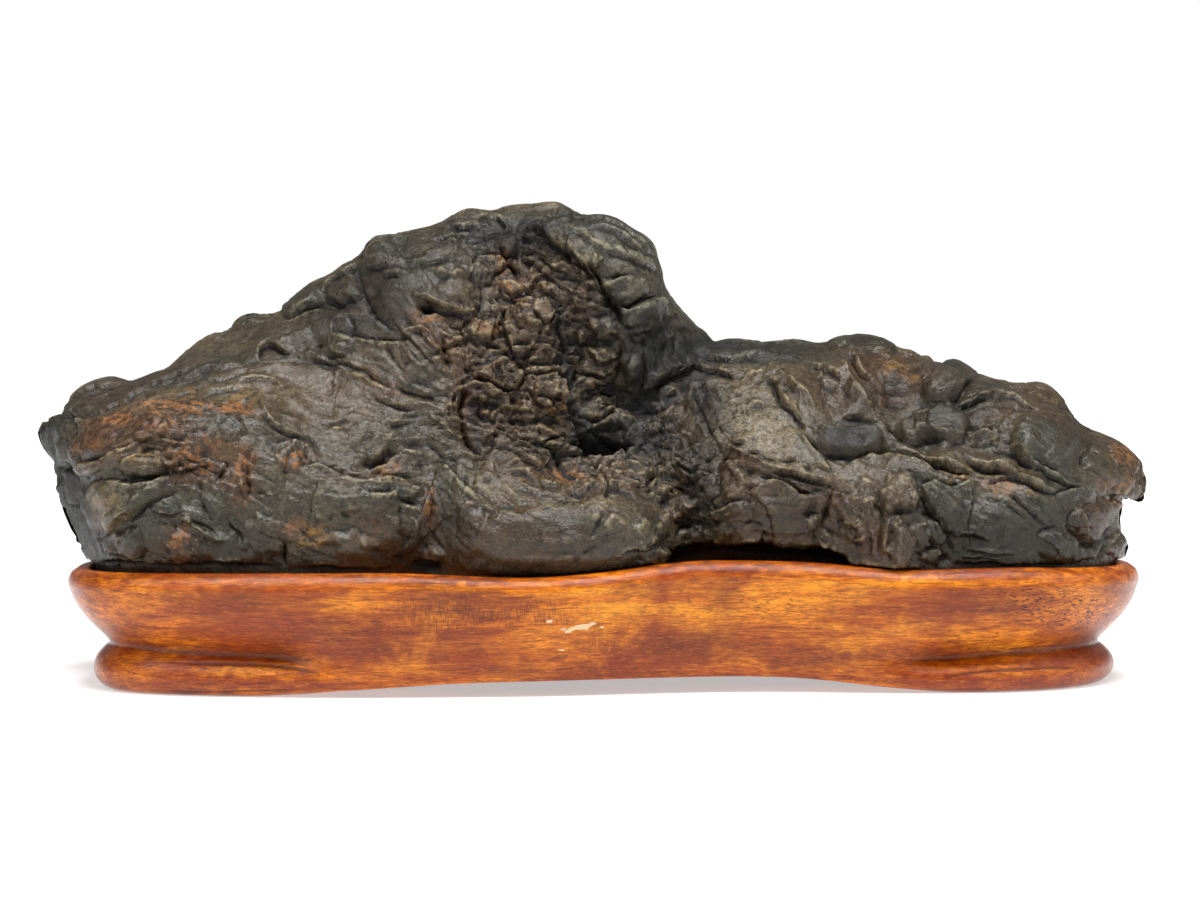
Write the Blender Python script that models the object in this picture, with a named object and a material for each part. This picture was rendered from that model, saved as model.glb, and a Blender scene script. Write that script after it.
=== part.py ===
"""Scholars' rock on its carved wooden stand.

Two pieces, in metres, +Z up, front towards -Y:
  stone  a long two-peaked rock, scribed into the seat of the stand
  stand  one carved block: rounded rim, waist, two bead feet, a low arch
         between the feet and a shallow seat the stone sits in

The stone is laid out on a sheet of squares 0.3 mm wide (column counted from
the left, row from the top).  A depth in millimetres goes with each point, and
the sheet widens with depth about one point, EYE.
"""
import bpy
import bmesh
import numpy as np

MM = 0.001
NAME = "scholars_rock"

# ---------------------------------------------------------------- layout
EYE = (2.0, -795.0, 101.0)      # mm, the sheet widens away from this point
SLOPE = 0.0004                  # width of one square per mm of distance
MID_COL, MID_ROW = 600.0, 450.0 # the middle square of the sheet
TIP = 2.107                     # degrees, the sheet leans back by this much

# ---------------------------------------------------------------- stone
GAP_SIDE = 0.5                  # mm between the stone and the seat wall
GAP_FLOOR = 0.3                 # mm between the stone and the seat floor
GAP_RIM = 0.45                  # mm between the stone and the rim top
STONE_COLS = 76                 # sections from end to end
STONE_ROWS = 19                 # points on each face of a section
BOTTOM_ROW = 606.0              # the sections run down past the seat floor

# skyline of the stone, from the left tip to the right beak
SKYLINE = [(39, 432), (44, 423), (60, 416), (72, 396), (84, 387), (98, 381),
           (114, 379), (130, 384), (150, 376), (168, 371), (180, 360),
           (192, 347), (206, 335), (226, 332), (240, 319), (264, 316),
           (276, 315), (288, 303), (304, 291), (330, 277), (354, 256),
           (374, 238), (404, 235), (436, 227), (456, 216), (470, 211),
           (494, 213), (520, 207), (556, 204), (578, 215), (606, 217),
           (632, 231), (648, 240), (658, 258), (664, 283), (674, 303),
           (696, 326), (713, 344), (734, 339), (780, 340), (828, 342),
           (866, 336), (890, 344), (926, 356), (956, 362), (974, 373),
           (1000, 383), (1040, 384), (1058, 396), (1080, 422), (1104, 433),
           (1128, 451), (1142, 466), (1148, 480)]
# left and right ends of the stone, from the skyline down
LEFT_END = [(39, 432), (45, 450), (54, 468), (56, 490), (66, 511), (73, 528),
            (82, 551), (92, 574), (98, 606)]
RIGHT_END = [(1148, 480), (1147, 491), (1142, 499), (1124, 502), (1120, 515),
             (1122, 534), (1126, 550), (1119, 571), (1110, 606)]

# depth of the front face: column, row, y in mm
FRONT = [
    (48, 436, -5), (60, 460, -12), (75, 430, -26), (75, 480, -28),
    (80, 520, -26), (95, 560, -26), (100, 430, -36), (100, 470, -40),
    (105, 520, -40), (115, 560, -38), (150, 415, -42), (150, 450, -46),
    (150, 500, -50), (150, 550, -46), (150, 580, -42), (200, 412, -44),
    (200, 450, -47), (200, 500, -48), (200, 550, -48), (200, 580, -46),
    (260, 420, -42), (260, 460, -47), (260, 520, -50), (260, 580, -48),
    (320, 445, -42), (320, 480, -48), (320, 540, -50), (320, 580, -48),
    (380, 465, -42), (380, 500, -49), (380, 540, -48), (380, 580, -44),
    (420, 470, -40), (425, 520, -44), (420, 580, -38), (470, 490, -48),
    (470, 540, -52), (470, 575, -50), (540, 505, -50), (540, 540, -54),
    (540, 578, -52), (600, 505, -50), (600, 545, -54), (610, 570, -50),
    (650, 520, -46), (655, 550, -46), (662, 560, -42), (100, 410, -22),
    (110, 395, -8), (150, 395, -20), (150, 380, 0), (200, 395, -26),
    (200, 370, -8), (200, 345, 8), (240, 400, -32), (250, 370, -14),
    (250, 340, 2), (240, 322, 12), (300, 430, -38), (300, 400, -28),
    (300, 370, -16), (300, 340, -6), (300, 300, 12), (350, 440, -38),
    (350, 400, -28), (350, 370, -20), (400, 450, -38), (400, 420, -32),
    (420, 440, -33), (440, 465, -36), (345, 345, -14), (345, 310, -8),
    (345, 272, 6), (380, 350, -20), (380, 300, -12), (380, 260, -4),
    (385, 240, 6), (430, 380, -28), (430, 340, -24), (430, 300, -18),
    (430, 260, -10), (430, 232, 6), (460, 420, -30), (460, 370, -26),
    (465, 320, -18), (465, 280, -12), (465, 240, -2), (470, 214, 10),
    (500, 440, -26), (500, 400, -24), (500, 350, -18), (500, 310, -10),
    (505, 270, -2), (505, 245, 2), (500, 215, 12), (540, 440, -24),
    (540, 400, -24), (540, 350, -18), (540, 310, -14), (545, 270, -2),
    (550, 240, -2), (550, 210, 12), (570, 400, -22), (565, 430, -20),
    (575, 350, -6), (585, 400, -8), (592, 432, -12), (600, 240, -2), (600, 280, -8),
    (600, 320, -8), (600, 360, -6), (610, 400, -2), (640, 250, 4),
    (640, 290, -8), (640, 330, -10), (640, 370, -8), (640, 400, -6),
    (655, 260, 10), (670, 330, 4), (665, 360, -4), (690, 345, 10),
    (680, 380, 0), (620, 225, 10), (660, 410, -10), (640, 430, -12),
    (680, 420, -14), (700, 390, -4), (705, 360, 10), (620, 460, -16),
    (600, 480, -28), (560, 470, -26), (520, 470, -34), (480, 465, -36),
    (640, 480, -28), (680, 470, -26), (660, 510, -32), (690, 510, -30),
    (700, 530, -28), (730, 345, 14), (740, 360, 4), (760, 345, 10),
    (720, 400, -16), (740, 390, -14), (720, 440, -30), (730, 470, -36),
    (760, 420, -30), (780, 450, -38), (820, 470, -44), (840, 480, -46),
    (720, 500, -42), (740, 530, -44), (780, 500, -48), (780, 535, -46),
    (820, 500, -48), (820, 540, -44), (800, 400, -22), (800, 370, -8),
    (800, 346, 8), (850, 345, 14), (866, 338, 24), (850, 400, -20),
    (850, 440, -34), (870, 470, -44), (870, 500, -50), (880, 540, -52),
    (890, 570, -50), (930, 560, -46), (940, 520, -46), (850, 530, -46),
    (900, 360, 6), (900, 400, -12), (900, 440, -26), (900, 470, -40),
    (950, 365, -4), (950, 400, -18), (950, 430, -26), (950, 470, -40),
    (950, 500, -44), (960, 550, -44), (960, 580, -44), (1000, 385, 10),
    (1000, 400, -6), (1000, 440, -24), (1000, 480, -40), (1000, 530, -46),
    (1000, 575, -44), (1040, 386, 16), (1040, 400, 2), (1040, 440, -22),
    (1040, 480, -36), (1040, 530, -42), (1040, 575, -38), (1080, 430, 2),
    (1080, 450, -14), (1080, 480, -28), (1080, 520, -34), (1080, 565, -30),
    (1110, 440, 6), (1110, 470, -10), (1105, 500, -14), (1105, 540, -16),
    (1110, 565, -14), (1120, 540, -4), (1140, 480, 0), (1130, 460, 4),
    (1135, 495, 2), (300, 640, -46), (600, 640, -50), (900, 640, -48),
    (1080, 640, -28), (130, 640, -38)]
# depth of the back face
BACK = [
    (50, 436, 8), (70, 450, 16), (70, 520, 18), (95, 570, 20), (100, 400, 14),
    (110, 450, 28), (120, 550, 32), (150, 385, 16), (160, 420, 32),
    (170, 500, 42), (170, 580, 42), (250, 325, 26), (250, 360, 36),
    (250, 420, 42), (250, 500, 46), (250, 580, 45), (350, 270, 20),
    (350, 320, 34), (350, 400, 42), (350, 500, 46), (350, 580, 46),
    (430, 235, 20), (430, 300, 34), (430, 400, 42), (430, 500, 45),
    (430, 580, 45), (500, 215, 26), (500, 280, 34), (500, 350, 38),
    (500, 430, 44), (500, 580, 45), (560, 212, 26), (560, 280, 32),
    (560, 360, 36), (560, 450, 42), (560, 580, 46), (640, 250, 22),
    (640, 300, 32), (640, 400, 40), (640, 500, 46), (640, 580, 46),
    (710, 348, 28), (710, 400, 38), (710, 500, 44), (710, 580, 46),
    (800, 345, 26), (800, 400, 38), (800, 480, 45), (800, 580, 45),
    (870, 342, 34), (870, 380, 40), (870, 480, 45), (870, 580, 44),
    (950, 368, 24), (950, 420, 36), (950, 500, 43), (950, 580, 43),
    (1040, 390, 26), (1040, 430, 32), (1040, 500, 37), (1040, 580, 36),
    (1100, 436, 16), (1100, 480, 22), (1100, 540, 20), (1110, 570, 18),
    (1140, 475, 10), (1125, 540, 8), (130, 640, 34), (400, 640, 46),
    (700, 640, 46), (1000, 640, 40), (1090, 640, 18)]
# the hollow where the front of the stone lifts off the rim: x, z of its mouth,
# then how far back (y) and how high (share) its roof runs
HOLLOW_MOUTH = [(21, 20), (20.5, 33), (21.5, 39.5), (25, 44.6), (32, 46.2),
                (47, 46.4), (62, 46.0), (71, 44.8), (76, 41.0), (78.5, 35),
                (78.5, 20)]
HOLLOW_RUN = [(-80, 1.0), (-42, 1.0), (-30, 0.96), (-21, 0.84), (-15, 0.60)]
# the cave between the peaks: middle, half sizes and lean
CAVE_AT = (-2.0, -9.0, 79.0)
CAVE_HALF = (5.0, 15.0, 10.0)
CAVE_LEAN = 12.0

# ---------------------------------------------------------------- stand
SEAT_FLOOR = 30.0               # mm, height of the seat floor
RIM_WIDTH = 7.0                 # mm, rim top, outer to inner edge
STAND_STEPS = 88                # points round the stand
# plan of the rim, seen from above: x, y in mm, anticlockwise from front left
RIM_PLAN = [(-163.5, -18), (-160, -37), (-150, -51), (-130, -60), (-100, -64),
            (-60, -64), (-20, -62.5), (5, -58), (28, -53), (50, -51),
            (75, -52), (100, -54.5), (125, -54), (148, -46), (165, -31),
            (173, -9), (170, 12), (158, 31), (135, 43), (100, 50),
            (60, 52), (20, 50), (-20, 50), (-60, 52), (-100, 51),
            (-135, 43), (-155, 25), (-162.5, 4)]
# height of the rim, along the front and along the back: x, z in mm
RIM_FRONT = [(-165, 36.6), (-120, 37.2), (-60, 37.6), (-35, 36.4),
             (-18, 35.7), (0, 36.8), (18, 39.0), (30, 40.4), (60, 40.0),
             (76, 39.0), (88, 37.2), (104, 37.8), (125, 38.4), (175, 36.6)]
RIM_BACK = [(-165, 36.6), (-80, 37.4), (0, 36.2), (80, 37.6), (175, 36.6)]
# wall of the stand over the feet and between them: inset, height as a share
# of the rim height
WALL_FOOT = [(12.3, 0.0), (10.0, 0.028), (8.2, 0.085), (7.6, 0.165),
             (8.6, 0.240), (10.6, 0.300), (12.4, 0.345), (11.3, 0.400),
             (8.4, 0.480), (4.8, 0.590), (2.0, 0.710), (0.4, 0.830),
             (0.0, 0.900), (0.5, 0.960), (1.9, 1.0)]
WALL_SPAN = [(8.4, 0.0), (7.6, 0.010), (7.2, 0.050), (6.8, 0.100),
             (6.3, 0.160), (5.8, 0.220), (5.2, 0.290), (4.5, 0.370),
             (3.5, 0.470), (2.4, 0.590), (1.2, 0.710), (0.3, 0.830),
             (0.0, 0.900), (0.5, 0.960), (1.9, 1.0)]
FOOT_LEFT = (-92.0, -74.0)      # mm, the left foot's bead fades out between these
FOOT_RIGHT = (80.0, 97.0)       # mm, the right foot's bead fades in between these
# height of the underside along the stand, mm: a low arch between flat feet
ARCH = [(-100, 0.0), (-85, 1.0), (-76, 2.0), (-60, 3.0), (-46, 4.0),
        (-28, 4.6), (-5, 4.8), (20, 4.9), (45, 5.0), (60, 4.6), (72, 3.6),
        (85, 2.0), (98, 0.7), (108, 0.0)]


# ---------------------------------------------------------------- helpers
def along(points, count):
    """count points evenly spaced along an open run of points"""
    p = np.array(points, float)
    s = np.r_[0, np.cumsum(np.hypot(*np.diff(p, axis=0).T))]
    t = np.linspace(0, s[-1], count)
    return np.stack([np.interp(t, s, p[:, 0]), np.interp(t, s, p[:, 1])], 1)


def rounded_loop(points, count):
    """a closed, corner-cut outline with count evenly spaced points"""
    p = np.array(points, float)
    for _ in range(3):
        q = np.roll(p, -1, 0)
        n = np.empty((len(p) * 2, 2))
        n[0::2] = p * 0.75 + q * 0.25
        n[1::2] = p * 0.25 + q * 0.75
        p = n
    p = np.vstack([p, p[:1]])
    s = np.r_[0, np.cumsum(np.hypot(*np.diff(p, axis=0).T))]
    t = np.linspace(0, s[-1], count + 1)[:-1]
    return np.stack([np.interp(t, s, p[:, 0]), np.interp(t, s, p[:, 1])], 1)


def relief(points, stiff=0.02):
    """a smooth surface through scattered depths (thin plate)"""
    p = np.array(points, float)
    x = p[:, :2] / 100.0
    n = len(x)

    def bend(r2):
        return 0.5 * r2 * np.log(np.maximum(r2, 1e-12))

    a = np.zeros((n + 3, n + 3))
    a[:n, :n] = bend(((x[:, None] - x[None]) ** 2).sum(-1)) + np.eye(n) * stiff
    a[:n, n] = a[n, :n] = 1
    a[:n, n + 1:] = x
    a[n + 1:, :n] = x.T
    c = np.linalg.solve(a, np.r_[p[:, 2], 0, 0, 0])

    def depth(col, row):
        q = np.stack([np.ravel(col), np.ravel(row)], 1) / 100.0
        d = bend(((q[:, None] - x[None]) ** 2).sum(-1))
        return (d @ c[:n] + c[n] + q @ c[n + 1:]).reshape(np.shape(col))
    return depth


def edge_distance(col, row, line):
    """distance in squares from points to an open run of points"""
    best = np.full(np.shape(col), 1e9)
    for (ax, ay), (bx, by) in zip(line[:-1], line[1:]):
        dx, dy = bx - ax, by - ay
        t = np.clip(((col - ax) * dx + (row - ay) * dy) / (dx * dx + dy * dy), 0, 1)
        best = np.minimum(best, np.hypot(col - ax - t * dx, row - ay - t * dy))
    return best


def to_space(col, row, y):
    """sheet position and depth to x, y, z in mm"""
    a, b = (col - MID_COL) * SLOPE, (MID_ROW - row) * SLOPE
    c, s = np.cos(np.radians(TIP)), np.sin(np.radians(TIP))
    far = (y - EYE[1]) / (c + b * s)
    return np.stack([EYE[0] + a * far,
                     y + 0 * far,
                     EYE[2] + far * (b * c - s)], -1)


def new_object(name, verts, faces, collection):
    mesh = bpy.data.meshes.new(name)
    mesh.from_pydata([tuple(v) for v in verts], [], faces)
    bm = bmesh.new()
    bm.from_mesh(mesh)
    bmesh.ops.remove_doubles(bm, verts=bm.verts, dist=1e-6)
    bmesh.ops.recalc_face_normals(bm, faces=bm.faces)
    bm.to_mesh(mesh)
    bm.free()
    mesh.update()
    obj = bpy.data.objects.new(name, mesh)
    collection.objects.link(obj)
    return obj


def rings_to_faces(n_rings, n_around, closed=True):
    faces = []
    for i in range(n_rings - 1):
        for j in range(n_around if closed else n_around - 1):
            k = (j + 1) % n_around
            faces.append((i * n_around + j, i * n_around + k,
                          (i + 1) * n_around + k, (i + 1) * n_around + j))
    return faces


def material(name, rgb, rough, metal=0.0):
    m = bpy.data.materials.new(name)
    m.use_nodes = True
    b = m.node_tree.nodes["Principled BSDF"]
    b.inputs["Base Color"].default_value = (*rgb, 1.0)
    b.inputs["Roughness"].default_value = rough
    b.inputs["Metallic"].default_value = metal
    m.diffuse_color = (*rgb, 1.0)
    return m


# ---------------------------------------------------------------- stand shape
def plan_normals(loop):
    t = np.roll(loop, -1, 0) - np.roll(loop, 1, 0)
    t /= np.hypot(*t.T)[:, None]
    return np.stack([-t[:, 1], t[:, 0]], 1)       # points inwards


def inset_loop(loop, d):
    d = np.broadcast_to(d, len(loop))
    return loop + plan_normals(loop) * d[:, None]


def rim_height(loop):
    f = np.interp(loop[:, 0], *np.array(RIM_FRONT).T)
    b = np.interp(loop[:, 0], *np.array(RIM_BACK).T)
    w = np.clip((loop[:, 1] + 22.0) / 30.0, 0, 1)
    w = w * w * (3 - 2 * w)
    return f * (1 - w) + b * w


def foot_share(x):
    a = np.clip((FOOT_LEFT[1] - x) / (FOOT_LEFT[1] - FOOT_LEFT[0]), 0, 1)
    b = np.clip((x - FOOT_RIGHT[0]) / (FOOT_RIGHT[1] - FOOT_RIGHT[0]), 0, 1)
    s = np.maximum(a, b)
    return s * s * (3 - 2 * s)


def shrink(loop, share):
    """pull a loop towards the long middle line of the stand"""
    mid = np.stack([np.clip(loop[:, 0], -118, 128), 0 * loop[:, 1] - 6.0], 1)
    return mid + (loop - mid) * share


def arch_height(x):
    return np.interp(x, [p[0] for p in ARCH], [p[1] for p in ARCH])


def stand_rings(steps):
    loop = rounded_loop(RIM_PLAN, steps)
    zr = rim_height(loop)
    foot = foot_share(loop[:, 0])
    base = arch_height(loop[:, 0])
    rings = []
    # underside, from the middle line out to the wall
    first = WALL_FOOT[0][0] * foot + WALL_SPAN[0][0] * (1 - foot)
    edge = inset_loop(loop, first)
    for share in (0.30, 0.62, 0.86):
        ring = shrink(edge, share)
        lift = arch_height(ring[:, 0])
        rings.append(np.column_stack([ring, lift]))
    # wall
    for (df, hf), (ds, hs) in zip(WALL_FOOT, WALL_SPAN):
        d = df * foot + ds * (1 - foot)
        z = base + (zr - base) * (hf * foot + hs * (1 - foot))
        rings.append(np.column_stack([inset_loop(loop, d), z]))
    # rim top, seat wall, seat floor
    inner = inset_loop(loop, RIM_WIDTH)
    rings.append(np.column_stack([inset_loop(loop, RIM_WIDTH - 0.8), zr]))
    rings.append(np.column_stack([inner, zr - 0.7]))
    rings.append(np.column_stack([inner, 0 * zr + SEAT_FLOOR]))
    for share in (0.72, 0.30):
        rings.append(np.column_stack([shrink(inner, share),
                                      0 * zr + SEAT_FLOOR]))
    return rings


def close_middle(verts, faces, start, steps, flip):
    """fill the slot left in the middle of a flat ring, side to side"""
    half = steps // 2
    for j in range(half - 1):
        q = (start + j, start + j + 1,
             start + steps - 2 - j, start + steps - 1 - j)
        faces.append(q[::-1] if flip else q)


def build_stand(collection):
    rings = stand_rings(STAND_STEPS)
    verts = np.vstack(rings) * MM
    faces = rings_to_faces(len(rings), STAND_STEPS)
    close_middle(verts, faces, 0, STAND_STEPS, True)
    close_middle(verts, faces, (len(rings) - 1) * STAND_STEPS, STAND_STEPS, False)
    return new_object("stand", verts, faces, collection)


def seat_space(collection):
    """everything the stone may fill: above the rim, and the seat less a gap"""
    loop = rounded_loop(RIM_PLAN, STAND_STEPS)
    zr = rim_height(loop) + GAP_RIM
    inner = inset_loop(loop, RIM_WIDTH + GAP_SIDE)
    rings = []
    for share in (0.30, 0.70):
        rings.append(np.column_stack([shrink(inner, share),
                                      0 * zr + SEAT_FLOOR + GAP_FLOOR]))
    rings.append(np.column_stack([inner, 0 * zr + SEAT_FLOOR + GAP_FLOOR]))
    rings.append(np.column_stack([inner, zr]))
    rings.append(np.column_stack([inset_loop(loop, -30.0), zr]))
    rings.append(np.column_stack([inset_loop(loop, -30.0), 0 * zr + 200.0]))
    rings.append(np.column_stack([inner, 0 * zr + 201.0]))
    rings.append(np.column_stack([shrink(inner, 0.30), 0 * zr + 201.0]))
    verts = np.vstack(rings) * MM
    faces = rings_to_faces(len(rings), STAND_STEPS)
    close_middle(verts, faces, 0, STAND_STEPS, True)
    close_middle(verts, faces, (len(rings) - 1) * STAND_STEPS, STAND_STEPS, False)
    return new_object("seat_space", verts, faces, collection)


# ---------------------------------------------------------------- stone shape
def build_stone(collection):
    nu, nv = STONE_COLS, STONE_ROWS
    u = np.linspace(0, 1, nu)
    top_col = 39 + (1148 - 39) * u
    top = np.stack([top_col, np.interp(top_col, *np.array(SKYLINE, float).T)], 1)
    bottom = np.stack([98 + (1110 - 98) * u, 0 * u + BOTTOM_ROW], 1)
    fine = 61
    v = np.linspace(0, 1, fine)
    left, right = along(LEFT_END, fine), along(RIGHT_END, fine)
    sheet = top[:, None] * (1 - v)[None, :, None] + bottom[:, None] * v[None, :, None]
    for end, k in ((left, 0), (right, -1)):
        straight = sheet[k].copy()
        near = np.clip(1 - np.abs(u - u[k]) / 0.14, 0, 1) ** 2
        sheet = sheet + near[:, None, None] * (end - straight)[None]
    col, row = sheet[..., 0], sheet[..., 1]

    front, back = relief(FRONT), relief(BACK)
    yf, yb = front(col, row), back(col, row)
    yf = np.minimum(yf, yb - 5.0)
    # round the skyline and the ends
    rim = [tuple(p) for p in top] 
    d = np.minimum(edge_distance(col, row, rim),
                   np.minimum(edge_distance(col, row, LEFT_END),
                              edge_distance(col, row, RIGHT_END)))
    thick = yb - yf
    reach = np.clip(0.30 * thick, 3.0, 8.0) / 0.3
    t = np.clip(d / reach, 0, 1)
    pull = 1 - np.sqrt(np.maximum(0, 1 - (1 - t) ** 2))
    mid = 0.5 * (yf + yb)
    half = np.maximum(0.5 * thick * (1 - pull), 1.2)
    yf, yb = mid - half, mid + half

    def even(points):
        """respace each section evenly along its length"""
        out = np.empty((nu, nv, 3))
        for i in range(nu):
            p = points[i]
            s = np.r_[0, np.cumsum(np.sqrt((np.diff(p, axis=0) ** 2).sum(1)))]
            w = np.linspace(0, s[-1], nv)
            for k in range(3):
                out[i, :, k] = np.interp(w, s, p[:, k])
        return out

    f = even(to_space(col, row, yf))
    b = even(to_space(col, row, yb))
    sections = np.concatenate([f, b[:, ::-1]], 1)
    ring = sections.shape[1]
    verts = sections.reshape(-1, 3) * MM
    faces = rings_to_faces(nu, ring)
    for base, flip in ((0, False), ((nu - 1) * ring, True)):
        for j in range(nv - 1):
            q = (base + j, base + j + 1, base + ring - 2 - j, base + ring - 1 - j)
            faces.append(q[::-1] if flip else q)
    stone = new_object("stone", verts, faces, collection)
    return stone


def build_hollow(collection):
    """cutter: an arch-shaped tunnel that dies out under the stone"""
    mouth = np.array(HOLLOW_MOUTH, float)
    rings = []
    for y, share in HOLLOW_RUN:
        mid = np.array([50.0, 20.0])
        p = mid + (mouth - mid) * np.array([0.5 + 0.5 * share, share])
        rings.append(np.column_stack([p[:, 0], 0 * p[:, 0] + y, p[:, 1]]))
    n = len(mouth)
    verts = np.vstack(rings) * MM
    faces = rings_to_faces(len(rings), n)
    faces.append(tuple(range(n)))
    faces.append(tuple(range((len(rings) - 1) * n, len(rings) * n))[::-1])
    return new_object("hollow", verts, faces, collection)


def build_cave(collection):
    """cutter: a leaning egg"""
    bpy.ops.mesh.primitive_uv_sphere_add(segments=14, ring_count=9, radius=1.0)
    egg = bpy.context.active_object
    egg.name = "cave"
    for c in list(egg.users_collection):
        c.objects.unlink(egg)
    collection.objects.link(egg)
    lean = np.radians(CAVE_LEAN)
    for v in egg.data.vertices:
        x, y, z = (v.co[k] * CAVE_HALF[k] for k in range(3))
        v.co = ((CAVE_AT[0] + x * np.cos(lean) + z * np.sin(lean)) * MM,
                (CAVE_AT[1] + y) * MM,
                (CAVE_AT[2] - x * np.sin(lean) + z * np.cos(lean)) * MM)
    return egg


def apply_all(obj):
    bpy.context.view_layer.objects.active = obj
    for m in list(obj.modifiers):
        bpy.ops.object.modifier_apply(modifier=m.name)


def main():
    for o in list(bpy.data.objects):
        bpy.data.objects.remove(o, do_unlink=True)
    for c in list(bpy.data.collections):
        bpy.data.collections.remove(c)
    col = bpy.data.collections.new(NAME)
    cut = bpy.data.collections.new(NAME + "_cutters")
    bpy.context.scene.collection.children.link(col)
    bpy.context.scene.collection.children.link(cut)

    stand = build_stand(col)
    stone = build_stone(col)
    space = seat_space(cut)
    hollow = build_hollow(cut)
    cave = build_cave(cut)
    for cutter, how in ((hollow, "DIFFERENCE"), (cave, "DIFFERENCE"),
                        (space, "INTERSECT")):
        cutter.hide_render = True
        cutter.display_type = "WIRE"
        mod = stone.modifiers.new(cutter.name, "BOOLEAN")
        mod.operation = how
        mod.solver = "EXACT"
        mod.object = cutter
    tri = stone.modifiers.new("facets", "TRIANGULATE")
    tri.quad_method = "SHORTEST_DIAGONAL"
    apply_all(stone)
    for cutter in (space, hollow, cave):
        cutter.hide_viewport = True

    # origin at the middle of the underside of the whole object
    pts = np.array([v.co[:] for o in (stand, stone) for v in o.data.vertices])
    lo, hi = pts.min(0), pts.max(0)
    shift = np.array([-(lo[0] + hi[0]) / 2, -(lo[1] + hi[1]) / 2, -lo[2]])
    for o in (stand, stone, space, hollow, cave):
        for v in o.data.vertices:
            v.co = (v.co[0] + shift[0], v.co[1] + shift[1], v.co[2] + shift[2])
        o.data.update()
    print("shift mm", shift * 1000, "size mm", (hi - lo) * 1000)

    for o, m in ((stone, material("stone", (0.085, 0.083, 0.074), 0.52)),
                 (stand, material("stand_wood", (0.36, 0.115, 0.030), 0.27))):
        o.data.materials.clear()
        o.data.materials.append(m)
        for p in o.data.polygons:
            p.use_smooth = True
        bm = bmesh.new()
        bm.from_mesh(o.data)
        bad = [e for e in bm.edges if not e.is_manifold]
        print(o.name, "faces", len(bm.faces), "tris",
              sum(len(f.verts) - 2 for f in bm.faces), "open edges", len(bad))
        bm.free()


main()
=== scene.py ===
import bpy
import math
import numpy as np
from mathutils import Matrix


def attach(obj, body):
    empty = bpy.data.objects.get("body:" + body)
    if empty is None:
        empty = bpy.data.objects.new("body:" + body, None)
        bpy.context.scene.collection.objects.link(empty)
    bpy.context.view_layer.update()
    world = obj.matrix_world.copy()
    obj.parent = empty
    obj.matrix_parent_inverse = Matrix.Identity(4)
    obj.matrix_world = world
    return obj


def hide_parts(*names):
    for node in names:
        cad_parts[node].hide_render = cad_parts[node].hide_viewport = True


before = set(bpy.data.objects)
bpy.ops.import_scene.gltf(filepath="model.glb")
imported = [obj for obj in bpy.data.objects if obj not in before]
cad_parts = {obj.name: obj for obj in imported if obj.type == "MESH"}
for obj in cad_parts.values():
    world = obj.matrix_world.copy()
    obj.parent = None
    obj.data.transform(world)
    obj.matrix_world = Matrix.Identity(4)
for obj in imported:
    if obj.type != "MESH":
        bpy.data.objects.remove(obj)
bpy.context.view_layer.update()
MM = 0.001

# ------------------------------------------------------------------ camera
# everything below is laid out in millimetres in one working space; SHIFT takes
# it to the frame of the CAD model (origin at the middle of the underside)
SHIFT = (-0.2939, 6.1717, 0.0)
EYE = np.array([2.0, -795.0, 101.0])
TIP = math.radians(2.107)
UNIT = 0.0004
CT, ST = math.cos(TIP), math.sin(TIP)


def to_space(col, row, y):
    a = (col - 600.0) * UNIT
    b = (450.0 - row) * UNIT
    t = (y - EYE[1]) / (CT + b * ST)
    return np.stack([EYE[0] + a * t, y + 0 * t, EYE[2] + t * (b * CT - ST)], -1)


def to_sheet(p):
    d = p - EYE
    far = d[..., 1] * CT - d[..., 2] * ST
    up = d[..., 1] * ST + d[..., 2] * CT
    return 600.0 + d[..., 0] / far / UNIT, 450.0 - up / far / UNIT


# ------------------------------------------------------------------ numbers
def hash3(ix, iy, iz, seed):
    n = (ix.astype(np.uint32) * np.uint32(374761393)
         + iy.astype(np.uint32) * np.uint32(668265263)
         + iz.astype(np.uint32) * np.uint32(2246822519)
         + np.uint32(seed * 3266489917 & 0xffffffff))
    n = (n ^ (n >> np.uint32(15))) * np.uint32(2246822519)
    n = (n ^ (n >> np.uint32(13))) * np.uint32(3266489917)
    return n ^ (n >> np.uint32(16))


def noise(p, seed=0):
    """gradient noise, about -1 to 1"""
    p = p + 1000.0
    f = np.floor(p)
    i = f.astype(np.int64)
    d = p - f
    w = d * d * d * (d * (d * 6 - 15) + 10)
    out = np.zeros(p.shape[:-1])
    for cx in (0, 1):
        for cy in (0, 1):
            for cz in (0, 1):
                h = hash3(i[..., 0] + cx, i[..., 1] + cy, i[..., 2] + cz, seed)
                g0 = (h & np.uint32(1023)).astype(float) / 511.5 - 1
                g1 = ((h >> np.uint32(10)) & np.uint32(1023)).astype(float) / 511.5 - 1
                g2 = ((h >> np.uint32(20)) & np.uint32(1023)).astype(float) / 511.5 - 1
                wx = w[..., 0] if cx else 1 - w[..., 0]
                wy = w[..., 1] if cy else 1 - w[..., 1]
                wz = w[..., 2] if cz else 1 - w[..., 2]
                out += wx * wy * wz * (g0 * (d[..., 0] - cx) + g1 * (d[..., 1] - cy)
                                       + g2 * (d[..., 2] - cz))
    return out * 1.6


def fbm(p, seed=0, octaves=4, gain=0.5, lac=2.03):
    a, s, out = 1.0, 1.0, 0.0
    for k in range(octaves):
        out = out + a * noise(p * s, seed + k * 7)
        a *= gain
        s *= lac
    return out


def warp(p, size, amount, seed):
    return p + amount * np.stack([noise(p / size, seed), noise(p / size + 31.7, seed + 1),
                                  noise(p / size + 67.1, seed + 2)], -1)


def smooth(a, b, x):
    t = np.clip((x - a) / (b - a), 0, 1)
    return t * t * (3 - 2 * t)


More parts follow.
